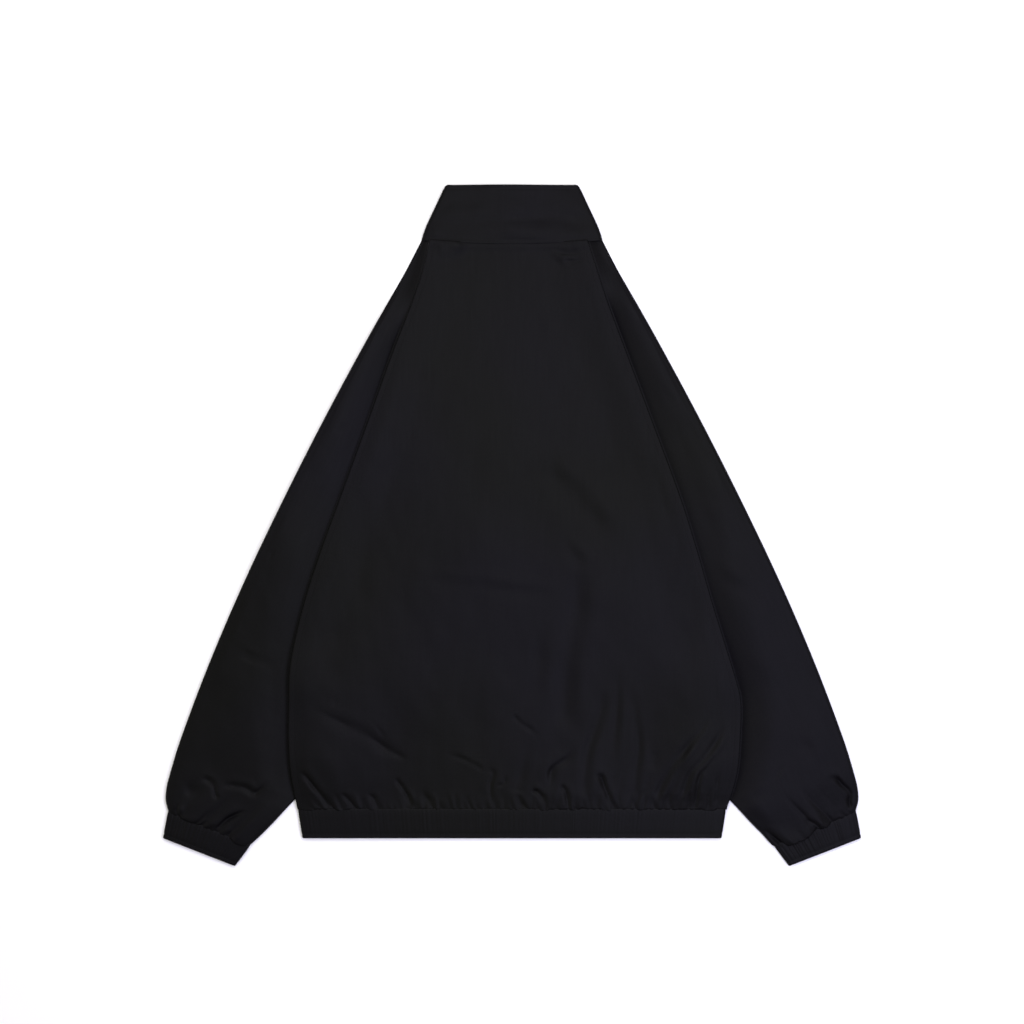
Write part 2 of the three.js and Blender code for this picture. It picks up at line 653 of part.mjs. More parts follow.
function toSolid(geometry) {
  const bare = geometry.clone();
  bare.deleteAttribute('normal');
  bare.deleteAttribute('uv');
  const merged = BufferGeometryUtils.mergeVertices(bare, 1e-4);
  return new wasm.Manifold(new wasm.Mesh({
    numProp: 3,
    vertProperties: new Float32Array(merged.getAttribute('position').array),
    triVerts: new Uint32Array(merged.getIndex().array),
  }));
}

function fromSolid(solid) {
  const mesh = solid.getMesh();
  const geometry = new THREE.BufferGeometry();
  geometry.setAttribute('position', new THREE.Float32BufferAttribute(mesh.vertProperties, 3));
  geometry.setIndex(Array.from(mesh.triVerts));
  return geometry;
}

// One plate of the slider: wide at the top where the tapes part, narrower below
function sliderPlate(z) {
  const { halfWidth, length, lowShare, topShare, plate } = slider;
  const shoulder = length / 10;
  const shape = new THREE.Shape();
  shape.moveTo(-halfWidth * lowShare, -length / 2);
  shape.lineTo(halfWidth * lowShare, -length / 2);
  shape.lineTo(halfWidth, shoulder);
  shape.quadraticCurveTo(halfWidth, length / 2, halfWidth * topShare, length / 2);
  shape.lineTo(-halfWidth * topShare, length / 2);
  shape.quadraticCurveTo(-halfWidth, length / 2, -halfWidth, shoulder);
  shape.closePath();
  const geometry = new THREE.ExtrudeGeometry(shape, { depth: plate, bevelEnabled: false, curveSegments: 4 });
  geometry.translate(0, slider.y, z);
  return geometry;
}

function zipSlider() {
  const under = sliderMid - plateOffset - slider.plate;
  const over = sliderMid + plateOffset;
  const { width, depth, above } = slider.neck;
  const neck = box(width, depth, 2 * plateOffset + slider.plate, 0, slider.y + above, sliderMid);
  const barTop = under - staple.room;
  const bar = box(staple.half * 2, staple.reach * 2, staple.thick, 0, slider.y, barTop - staple.thick / 2);
  const legs = [-1, 1].map((s) => box(
    staple.half * 2,
    staple.leg,
    staple.room + staple.thick + slider.plate / 2,
    0,
    slider.y + s * (staple.reach - staple.leg / 2),
    under - (staple.room + staple.thick) / 2 + slider.plate / 4,
  ));
  const pieces = [sliderPlate(over), neck, bar, ...legs];
  return fromSolid(pieces.reduce((solid, piece) => solid.add(toSolid(piece)), toSolid(sliderPlate(under))));
}

function zipPull() {
  const { half, tipHalf, tipRound, length, bar, hole, thick } = pull;
  const shape = new THREE.Shape();
  shape.moveTo(-half, bar / 2);
  shape.lineTo(half, bar / 2);
  shape.lineTo(tipHalf, -length + tipRound);
  shape.quadraticCurveTo(tipHalf, -length, 0, -length);
  shape.quadraticCurveTo(-tipHalf, -length, -tipHalf, -length + tipRound);
  shape.closePath();
  const eye = new THREE.Path();
  eye.moveTo(-hole.half, -bar / 2);
  eye.lineTo(-hole.half, -bar / 2 - hole.length);
  eye.lineTo(hole.half, -bar / 2 - hole.length);
  eye.lineTo(hole.half, -bar / 2);
  eye.closePath();
  shape.holes.push(eye);
  const geometry = new THREE.ExtrudeGeometry(shape, { depth: thick, bevelEnabled: false, curveSegments: 4 });
  geometry.translate(0, 0, -thick / 2);
  return geometry;
}

// The box that the lower ends of the tapes close in, and the stops over the slider
const endBox = { width: 8.6, length: 8.4, height: 2.6, gap: 0.5, lap: 1.2 };
const topStop = { width: 1.2, length: 3, aboveSlider: 9.5 };

function zipBox() {
  const mid = tapeMid(tape.lowY);
  const { width, length, height, gap, lap } = endBox;
  const z = mid - wallThick.tape / 2 - height / 2 + lap;
  return box(width, length, height, 0, tape.lowY - gap - length / 2, z);
}

function zipStop(side) {
  const sign = side === 'left' ? -1 : 1;
  const { width, length, aboveSlider } = topStop;
  const y = slider.y + aboveSlider;
  return box(width, length, chain.thick, sign * (tape.inner - seamGap - width / 2), y, tapeMid(y));
}

// Finishes
const blackNylon = { color: 0x1b1b1d, roughness: 0.62, metalness: 0 };
const blackTape = { color: 0x161617, roughness: 0.8, metalness: 0 };
const blackCoil = { color: 0x121213, roughness: 0.45, metalness: 0 };
const blackMetal = { color: 0x202022, roughness: 0.35, metalness: 0.8 };

const jacket = new THREE.Group();

function addPiece(name, geometry, finish, parent = jacket) {
  const mesh = new THREE.Mesh(geometry, new THREE.MeshStandardMaterial(finish));
  mesh.name = name;
  parent.add(mesh);
  return mesh;
}

addPiece('back_panel', backPanel(), blackNylon);
addPiece('collar', collar(), blackNylon);
addPiece('hem_band', hemBand(), blackNylon);
addPiece('zip_chain', zipChain(), blackCoil);
addPiece('zip_slider', zipSlider(), blackMetal);
addPiece('zip_box', zipBox(), blackCoil);
for (const side of ['left', 'right']) {
  addPiece(`front_${side}`, frontPanel(side), blackNylon);
  addPiece(`sleeve_${side}`, sleeve(side), blackNylon);
  addPiece(`cuff_${side}`, cuff(side), blackNylon);
  addPiece(`zip_tape_${side}`, zipTape(side), blackTape);
  addPiece(`zip_stop_${side}`, zipStop(side), blackMetal);
}

const pullPivot = new THREE.Group();
pullPivot.position.set(0, slider.y, pullPivotZ);
jacket.add(pullPivot);
addPiece('zip_pull', zipPull(), blackMetal, pullPivot);

export default jacket;
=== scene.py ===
import math
import random

import bpy
import numpy as np
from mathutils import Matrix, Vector, noise


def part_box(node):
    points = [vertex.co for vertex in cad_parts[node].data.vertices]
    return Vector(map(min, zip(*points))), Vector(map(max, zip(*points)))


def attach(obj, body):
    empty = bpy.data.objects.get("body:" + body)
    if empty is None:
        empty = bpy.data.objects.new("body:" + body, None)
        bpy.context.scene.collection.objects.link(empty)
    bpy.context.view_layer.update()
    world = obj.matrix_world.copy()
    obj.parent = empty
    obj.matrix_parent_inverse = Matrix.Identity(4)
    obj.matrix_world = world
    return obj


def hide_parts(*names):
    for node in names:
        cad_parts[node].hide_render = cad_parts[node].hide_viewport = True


# A black nylon track jacket laid flat on its front, its back up and its sleeves under its sides.
# Lengths are millimetres until a mesh is made. +Y is towards the collar and +Z is up.

mm = 0.001
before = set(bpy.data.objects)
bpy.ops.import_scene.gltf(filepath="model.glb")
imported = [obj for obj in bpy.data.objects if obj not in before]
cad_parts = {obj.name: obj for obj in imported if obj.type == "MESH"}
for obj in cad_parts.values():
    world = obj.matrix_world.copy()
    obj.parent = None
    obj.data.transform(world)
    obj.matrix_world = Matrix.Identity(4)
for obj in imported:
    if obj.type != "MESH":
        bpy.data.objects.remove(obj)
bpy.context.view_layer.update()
print("frame: loaded")


def span(node, axis):  # lowest and highest place of a CAD node along an axis, in millimetres
    low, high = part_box(node)
    return low[axis] / mm, high[axis] / mm


hemEdgeY, bandTopY = span("hem_band", 1)
collarTopY = span("collar", 1)[1]
seamGap = 0.3
bodyLowY = bandTopY + seamGap
neckSeamY = 331.5  # at the centre back
neckSeamRise = 3.5  # how much higher the seam is 100 mm from the centre
neckFromY = 290  # from here up the cloth is drawn to the curve of the neck seam
frontNeck = {"drop": 14, "half": 84}
sleeveTopY = 334.5
closedEdge = 5  # the front edges stand this far from the centre of the zip
clothThick = 0.45
floorMid = 0.5  # middle of the cloth that lies on the floor
seamLap = 1.2  # cloth reaches this far under the piece it is sewn to
signs = {"left": -1, "right": 1}  # of x on the two sides

# Half widths of the back where its edge shows over the sleeves
bodyEdge = {
    "y": [-333, -293, -250, -205, -176, -146, -88, -29, 30, 118, 206, 265, 300, 336],
    "left": [252.5, 260, 263, 262.5, 262, 258, 244, 225, 203.5, 171.5, 140, 117, 105.5, 97.5],
    "right": [253, 264.5, 268.5, 269, 262, 253, 235, 218, 199.5, 167, 134, 112, 100.5, 89],
}

# Shoulder and outer arm, down to the cuff seam
armOutline = {
    "y": [-336, -323, -311, -299, -252, -158, -64, 30, 124, 218, 312, 336],
    "x": [404.5, 407.6, 407, 404.5, 390.2, 354.7, 314.2, 269.4, 221.8, 171.2, 118.2, 105.8],
}

# The sleeve's underarm edge, tucked under the body and then out to the cuff
underarmEdge = {
    "x": [239, 223, 220.5, 234, 255.5, 282.4, 297],
    "y": [-222, -252, -282, -303.5, -322.5, -351.2, -365.8],
}

collarOutline = {
    "y": [330, 338, 345, 354, 372, 391, 396, 399, 400.6],
    "x": [106, 106, 103.8, 100.4, 92, 83, 80.6, 78.3, 75.4],
}

# Ends of the cuff seam and of the cuff's mouth, of the right sleeve
cuffCorners = {
    "seamOuter": (404.7, -336.2), "seamInner": (308.3, -376.2),
    "mouthOuter": (410.6, -367.6), "mouthInner": (325.9, -400.6),
}


def ease(start, end, value):
    t = np.clip((value - start) / (end - start), 0, 1)
    return t * t * (3 - 2 * t)


def lerp(a, b, t):
    return a + (b - a) * t


def hump(value, middle, half):
    return np.exp(-(((value - middle) / half) ** 2))


def unit(vectors):
    return vectors / np.linalg.norm(vectors, axis=-1, keepdims=True)


def lengthsAlong(points):
    return np.append(0, np.cumsum(np.linalg.norm(np.diff(points, axis=0), axis=1)))


# Smooth reading of a table whose rows are sorted by the column called key
def readTable(table, key, column, at):
    places = np.array(table[key], float)
    values = np.array(table[column], float)
    order = np.arange(len(places))
    low = np.maximum(order - 1, 0)
    high = np.minimum(order + 1, len(places) - 1)
    slopes = (values[high] - values[low]) / (places[high] - places[low])
    i = np.clip(np.searchsorted(places, at, side="right") - 1, 0, len(places) - 2)
    gap = places[i + 1] - places[i]
    t = np.clip((at - places[i]) / gap, 0, 1)
    return (
        (2 * t**3 - 3 * t**2 + 1) * values[i] + (t**3 - 2 * t**2 + t) * slopes[i] * gap
        + (3 * t**2 - 2 * t**3) * values[i + 1] + (t**3 - t**2) * slopes[i + 1] * gap
    )


def edgeAt(side, y):
    return readTable(bodyEdge, "y", side, y)


def neckSeam(x):
    return neckSeamY + neckSeamRise * (x / 100) ** 2


def frontNeckSeam(x):
    t = np.clip(np.abs(x) / frontNeck["half"], 0, 1)
    return neckSeam(x) - frontNeck["drop"] * (1 - t * t) ** 2


# Places between several marks, each stretch with its own step
def stretches(marks, steps):
    places = [marks[0]]
    for start, end, step in zip(marks, marks[1:], steps):
        count = max(1, round(abs(end - start) / step))
        places.extend(lerp(start, end, k / count) for k in range(1, count + 1))
    return np.array(places)


def smoothPath(path, count):
    points = np.array(path, float)
    table = {"t": np.linspace(0, 1, len(points)), "x": points[:, 0], "y": points[:, 1]}
    t = np.linspace(0, 1, count)
    return np.stack([readTable(table, "t", "x", t), readTable(table, "t", "y", t)], 1)


# Height of folds over a plain cloth. Each is a trough along a smooth path, with a lip on its left side as
# the path runs (on its right where lip is below 0). Sharp ones are steep on that side, soft ones are round.
# A fold comes up over the share fadeIn of its path and dies away over the share fadeOut.
foldColumns = ("kind", "half", "depth", "lip", "fadeIn", "fadeOut", "path")


def foldHeight(x, y, table):
    x, y = np.broadcast_arrays(x, y)
    total = np.zeros(x.shape)
    for row in table:
        fold = dict(zip(foldColumns, row))
        half, depth, lip = fold["half"], fold["depth"], fold["lip"]
        line = smoothPath(fold["path"], 14)
        reach = half * 6
        low, high = line.min(0) - reach, line.max(0) + reach
        near = (x > low[0]) & (x < high[0]) & (y > low[1]) & (y < high[1])
        if not near.any():
            continue
        px, py = x[near], y[near]
        nearest = np.full(px.shape, np.inf)
        aside = np.zeros(px.shape)
        along = np.zeros(px.shape)
        for n in range(len(line) - 1):
            start, step = line[n], line[n + 1] - line[n]
            t = np.clip(((px - start[0]) * step[0] + (py - start[1]) * step[1]) / (step @ step), 0, 1)
            offX = px - start[0] - step[0] * t
            offY = py - start[1] - step[1] * t
            away = np.hypot(offX, offY)
            closer = away < nearest
            nearest = np.where(closer, away, nearest)
            aside = np.where(closer, np.copysign(away, step[0] * offY - step[1] * offX), aside)
            along = np.where(closer, (n + t) / (len(line) - 1), along)
        strength = ease(0, fold["fadeIn"], along)
        if fold["fadeOut"]:
            strength = strength * (1 - ease(1 - fold["fadeOut"], 1, along))
        strength = strength * (1 + 0.25 * np.sin(11 * along + line[0, 0]))  # its depth is uneven
        u = aside / half
        lipSide = 1 if lip >= 0 else -1
        if fold["kind"] == "soft":
            shape = -depth * hump(u, 0, 1) + abs(lip) * hump(u, 1.6 * lipSide, 1.1)
        else:
            wide = np.where(u * lipSide > 0, 0.5, 0.95)  # narrow, so steep, on the side of the lip
            shape = -1.15 * depth * hump(u, 0, wide) + 0.4 * abs(lip) * hump(u, 1.7 * lipSide, 1.5)
        total[near] += shape * strength
    return total


# Small puckers of cloth sewn to a casing, uneven in place, width, height and reach
def puckers(across, fromSeam, spec):
    chance = random.Random(spec["seed"])
    across, fromSeam = np.broadcast_arrays(across, fromSeam)
    total = np.zeros(across.shape)
    place = spec["start"]
    turn = 1
    while place < spec["end"]:
        half = chance.uniform(*spec["half"])
        reach = chance.uniform(*spec["reach"])
        height = chance.uniform(*spec["height"]) * turn
        share = (place - spec["start"]) / (spec["end"] - spec["start"])
        lean = lerp(spec["leanFrom"], spec["leanTo"], share) + chance.uniform(-spec["lean"], spec["lean"])
        middle = place + lean * fromSeam
        wide = half * (1 + 0.8 * np.clip(fromSeam / reach, 0, 2))  # they widen away from the seam
        total += height * hump(across, middle, wide) * (1 - ease(0.1 * reach, reach, fromSeam))
        place += half * chance.uniform(*spec["spacing"])
        turn = -turn
    return total


# How far cloth bulges over the seam it hangs from, at places along it
def overhang(across, bulges):
    total = np.zeros(np.shape(across))
    for place, half, reach in bulges:
        total = np.maximum(total, reach * np.exp(-(((across - place) / half) ** 4)))
    return total


# A bulge is widest a little above its seam
def bulgeShare(fromSeam, height):
    u = np.clip(fromSeam / height, 0, 1)
    return np.sin(math.pi * u ** 0.6) * (1 - u) ** 0.3


# Slow unevenness of cloth that lies free. Each layer has a height, a length, a stretch along y and a seed.
def looseness(x, y, layers):
    x, y = np.broadcast_arrays(x, y)
    total = np.zeros(x.shape)
    for height, length, stretch, seed in layers:
        places = np.stack([x / length, y / length / stretch, np.full(x.shape, seed * 7.3)], -1).reshape(-1, 3)
        total += height * np.array([noise.noise(place) for place in places.tolist()]).reshape(x.shape)
    return total


# Unit normals of a grid of points, columns crossed with rows
def gridNormals(points, closed=False):
    if closed:
        across = np.roll(points, -1, 1) - np.roll(points, 1, 1)
    else:
        across = np.gradient(points, axis=1)
    along = np.gradient(points, axis=0)
    return unit(np.cross(across, along))


layerFoldSteps = 4  # round the fold that joins the two layers of a casing or of the collar


# Two layers round a plain middle, joined by a fold at the first row. half is half the thickness, and
# raised is how far both layers stand out beyond it.
def doubled(middle, half, raised=0, closed=False):
    normals = gridNormals(middle, closed)
    half = np.broadcast_to(half, middle.shape[:2])[..., None]
    raised = np.broadcast_to(raised, middle.shape[:2])[..., None]
    outer = middle + normals * (half + raised)
    inner = middle - normals * (half + raised * 0.5)
    outward = unit(middle[0] - middle[1])
    rows = [outer[::-1]]
    for k in range(1, layerFoldSteps):
        turn = math.pi * k / layerFoldSteps
        lift = half[0] + raised[0] * (0.75 + 0.25 * math.cos(turn))
        row = middle[0] + normals[0] * lift * math.cos(turn) + outward * half[0] * math.sin(turn)
        rows.append(row[None])
    rows.append(inner)
    return np.concatenate(rows, 0)


def meshPiece(name, points, faces, material):
    mesh = bpy.data.meshes.new(name)
    mesh.from_pydata((np.reshape(points, (-1, 3)) * mm).tolist(), [], faces)
    mesh.materials.append(material)
    mesh.shade_smooth()
    piece = bpy.data.objects.new(name, mesh)
    bpy.context.scene.collection.objects.link(piece)
    return piece


# A cloth piece from its grid of points: a thin shell that rides on the jacket and stands for a CAD node
def clothPiece(name, points, cloth, closed=False, flip=False, thick=clothThick):
    rows, columns = points.shape[:2]
    ids = np.arange(rows * columns).reshape(rows, columns)
    if closed:
        ids = np.concatenate([ids, ids[:, :1]], 1)
    faces = np.stack([ids[:-1, :-1], ids[:-1, 1:], ids[1:, 1:], ids[1:, :-1]], -1).reshape(-1, 4)
    if flip:
        faces = faces[:, ::-1]
    piece = meshPiece(name, points, faces.tolist(), cloth["material"])
    shell = piece.modifiers.new("cloth thickness", "SOLIDIFY")
    shell.thickness = thick * mm
    shell.offset = 0
    shading = piece.modifiers.new("smooth shading", "WEIGHTED_NORMAL")
    shading.weight = 90
    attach(piece, "jacket")
    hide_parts(cloth["node"])
    return piece


# Materials

def linear(hexColour):  # sRGB hex value to the linear colour that Blender uses
    parts = [int(hexColour[k:k + 2], 16) / 255 for k in (1, 3, 5)]
    return [c / 12.92 if c <= 0.04045 else ((c + 0.055) / 1.055) ** 2.4 for c in parts] + [1.0]


def addNode(tree, kind, inputs=None, **settings):  # inputs are values, or sockets to link from
    made = tree.nodes.new(kind)
    for name, value in settings.items():
        setattr(made, name, value)
    for name, value in (inputs or {}).items():
        if isinstance(value, bpy.types.NodeSocket):
            tree.links.new(value, made.inputs[name])
        else:
            made.inputs[name].default_value = value
    return made


def newMaterial(name):
    material = bpy.data.materials.new(name)
    material.use_nodes = True
    material.node_tree.nodes.clear()
    return material, material.node_tree


waveTurn = 2 * math.pi / 20  # length of one wave of Blender's wave texture at scale 1


# Nylon taffeta, plain woven and washed: near black, with a soft sheen, faint slubs along the warp and a
# fine crinkle. Its threads are 0.2 mm apart, too fine to show, so the weave is drawn at 1.4 mm.
def wovenNylonTaffeta(name, look):
    material, tree = newMaterial(name)
    place = addNode(tree, "ShaderNodeTexCoord")
    grain = addNode(tree, "ShaderNodeMapping", {
        "Vector": place.outputs["Object"], "Rotation": (0, 0, math.radians(-look["grainAngle"])),
    })
    threads = [addNode(tree, "ShaderNodeTexWave", {
        "Vector": grain.outputs[0], "Scale": waveTurn / (look["weaveMm"] * mm),
        "Distortion": 0.6, "Detail": 1.0, "Detail Scale": 2.0,
    }, wave_type="BANDS", bands_direction=direction) for direction in ("X", "Y")]
    weave = addNode(tree, "ShaderNodeMath", {
        0: threads[0].outputs["Fac"], 1: threads[1].outputs["Fac"],
    }, operation="MULTIPLY")
    stretched = addNode(tree, "ShaderNodeMapping", {
        "Vector": grain.outputs[0], "Scale": (1, look["slubWidthMm"] / look["slubLengthMm"], 1),
    })
    slubs = addNode(tree, "ShaderNodeTexNoise", {
        "Vector": stretched.outputs[0], "Scale": 1 / (look["slubWidthMm"] * mm),
        "Detail": 3.0, "Roughness": 0.6,
    })
    crinkle = addNode(tree, "ShaderNodeTexNoise", {
        "Vector": grain.outputs[0], "Scale": 1 / (look["crinkleMm"] * mm), "Detail": 4.0, "Roughness": 0.55,
    })
    cast = addNode(tree, "ShaderNodeTexNoise", {
        "Vector": place.outputs["Object"], "Scale": 1 / (look["castMm"] * mm), "Detail": 1.0,
    })
    castShare = addNode(tree, "ShaderNodeMapRange", {
        "Value": cast.outputs["Fac"], "From Min": 0.38, "From Max": 0.62,
    })
    tone = addNode(tree, "ShaderNodeMix", {
        "Factor": castShare.outputs["Result"], "A": linear(look["warm"]), "B": linear(look["cool"]),
    }, data_type="RGBA")
    slubShare, gloss = (addNode(tree, "ShaderNodeMapRange", {
        "Value": slubs.outputs["Fac"], "From Min": 0.3, "From Max": 0.7, "To Min": low, "To Max": high,
    }) for low, high in (
        (1 - look["slubTone"], 1 + look["slubTone"]), (look["roughness"] + 0.02, look["roughness"] - 0.02),
    ))
    colour = addNode(tree, "ShaderNodeVectorMath", {
        0: tone.outputs[2], "Scale": slubShare.outputs["Result"],
    }, operation="SCALE")
    normal = {}
    for height, strength, depthMm in (
        (crinkle.outputs["Fac"], look["crinkleBump"], 0.4), (slubs.outputs["Fac"], look["slubBump"], 0.15),
        (weave.outputs[0], look["weaveBump"], 0.1),
    ):
        bump = addNode(tree, "ShaderNodeBump", {
            "Strength": strength, "Distance": depthMm * mm, "Height": height, **normal,
        })
        normal = {"Normal": bump.outputs[0]}
    shader = addNode(tree, "ShaderNodeBsdfPrincipled", {
        "Base Color": colour.outputs[0], "Roughness": gloss.outputs["Result"], "IOR": 1.53,
        "Specular IOR Level": look["specular"], "Sheen Weight": look["sheen"], "Sheen Roughness": 0.45,
        "Sheen Tint": linear("#8d8b98"), **normal,
    })
    addNode(tree, "ShaderNodeOutputMaterial", {"Surface": shader.outputs[0]})
    return material


nylonLook = {
    "grainAngle": 0, "weaveMm": 1.4, "slubWidthMm": 1.6, "slubLengthMm": 42, "crinkleMm": 5, "castMm": 260,
    "warm": "#050504", "cool": "#060509", "slubTone": 0.012, "roughness": 0.56, "specular": 0.074,
    "sheen": 0, "crinkleBump": 0.34, "slubBump": 0.05, "weaveBump": 0.2,
}
armAngle = 21  # the warp of a sleeve runs down the arm
bodyNylon = wovenNylonTaffeta("nylon taffeta body", nylonLook)
casingNylon = wovenNylonTaffeta("nylon taffeta casings", {**nylonLook, "crinkleMm": 3, "roughness": 0.53})
sleeveNylon = {
    "left": wovenNylonTaffeta("nylon taffeta left sleeve", {**nylonLook, "grainAngle": -armAngle}),
    "right": wovenNylonTaffeta("nylon taffeta right sleeve", {**nylonLook, "grainAngle": armAngle}),
}


# Polyester zip tape, closely woven in a twill: matt black, with fine slanting ribs. Its ribs are 0.4 mm
# apart, drawn at 0.8 mm.
def wovenPolyesterTape(name, look):
    material, tree = newMaterial(name)
    place = addNode(tree, "ShaderNodeTexCoord")
    turned = addNode(tree, "ShaderNodeMapping", {
        "Vector": place.outputs["Object"], "Rotation": (0, 0, math.radians(look["ribAngle"])),
    })
    ribs = addNode(tree, "ShaderNodeTexWave", {
        "Vector": turned.outputs[0], "Scale": waveTurn / (look["ribMm"] * mm), "Distortion": 0.8,
    }, wave_type="BANDS", bands_direction="X")
    # The ribs' grooves are painted darker than their crests: painted shade in the grooves, on top of the bump
    tone = addNode(tree, "ShaderNodeMapRange", {"Value": ribs.outputs["Fac"], "To Min": 0.8, "To Max": 1.2})
    colour = addNode(tree, "ShaderNodeVectorMath", {
        0: linear(look["colour"])[:3], "Scale": tone.outputs["Result"],
    }, operation="SCALE")
    bump = addNode(tree, "ShaderNodeBump", {
        "Strength": look["bump"], "Distance": 0.12 * mm, "Height": ribs.outputs["Fac"],
    })
    shader = addNode(tree, "ShaderNodeBsdfPrincipled", {
        "Base Color": colour.outputs[0], "Roughness": look["roughness"], "IOR": look["ior"],
        "Specular IOR Level": look["specular"], "Normal": bump.outputs[0],
    })
    addNode(tree, "ShaderNodeOutputMaterial", {"Surface": shader.outputs[0]})
    return material


# A hard smooth finish with slight unevenness: the moulded coil and the painted zinc slider
def hardFinish(name, look):
    material, tree = newMaterial(name)
    place = addNode(tree, "ShaderNodeTexCoord")
    speckle = addNode(tree, "ShaderNodeTexNoise", {
        "Vector": place.outputs["Object"], "Scale": 1 / (look["speckleMm"] * mm), "Detail": 3.0,
    })
    gloss = addNode(tree, "ShaderNodeMapRange", {
        "Value": speckle.outputs["Fac"],
        "To Min": look["roughness"] - 0.08, "To Max": look["roughness"] + 0.08,
    })
    colour = addNode(tree, "ShaderNodeMix", {
        "Factor": speckle.outputs["Fac"], "A": linear(look["dark"]), "B": linear(look["light"]),
    }, data_type="RGBA")
    bump = addNode(tree, "ShaderNodeBump", {
        "Strength": 0.2, "Distance": 0.05 * mm, "Height": speckle.outputs["Fac"],
    })
    shader = addNode(tree, "ShaderNodeBsdfPrincipled", {
        "Base Color": colour.outputs[2], "Roughness": gloss.outputs["Result"], "IOR": look["ior"],
        "Specular IOR Level": look["specular"], "Normal": bump.outputs[0],
    })
    addNode(tree, "ShaderNodeOutputMaterial", {"Surface": shader.outputs[0]})
    return material


zipTapeCloth = wovenPolyesterTape("polyester zip tape", {
    "colour": "#141415", "ribAngle": 40, "ribMm": 0.8, "bump": 0.5, "roughness": 0.78, "ior": 1.55,
    "specular": 0.35,
})
coilNylon = hardFinish("nylon monofilament coil", {
    "dark": "#0e0e0f", "light": "#171719", "roughness": 0.38, "ior": 1.53, "specular": 0.5,
    "speckleMm": 1.2,
})
paintedZinc = hardFinish("painted zinc slider", {
    "dark": "#111112", "light": "#1c1c1e", "roughness": 0.3, "ior": 1.5, "specular": 0.5,
    "speckleMm": 0.8,
})
sewingThread = hardFinish("polyester sewing thread", {
    "dark": "#070708", "light": "#0c0c0e", "roughness": 0.6, "ior": 1.55, "specular": 0.1,
    "speckleMm": 0.5,
})
print("materials: made")


# The back panel
backShape = {
    "plain": 6.6, "atBand": 7.05, "seamRise": 20, "seamStart": 1.5,  # it comes up from the band over seamRise
    "neckRise": 1.0, "neckReach": 7,
    "edgeSwell": 3.6, "edgeInset": (60, 8), "edgeY": (-230, -150),  # all along the raglan edges
    "sideSwell": 4.8, "sideInset": (120, 40), "sideY": (-120, -200), "sideAbove": (-4, 64),  # over sleeves
    "blouse": 1.0, "blouseY": (-220, -314), "bulgeHeight": 16, "bulgeReach": 1.6,
    "looseness": [(2.2, 110, 1.5, 1), (0.9, 42, 1.6, 2), (0.3, 17, 1.4, 3)],
    "creaseInset": (5, 24), "creaseAtSeam": 0.35,  # creases die away at the edges and are lower at the seam
    "stitchInset": 7.2, "grooveDepth": 0.05, "grooveHalf": 0.7,  # the topstitching pulls the cloth down
    "edgeInsets": [14, 12, 10, 8.6, 7.8, 7.2, 6.6, 5.2, 3.6, 2.2, 1.2], "rollSteps": 4,
    "columns": 264, "rowMarks": [-300, -212, 298], "rowSteps": [1.5, 2.6, 5.6, 3],
    "underBand": 0.45, "underCollar": 0.5,  # how far its ends go down under the band and the collar
}

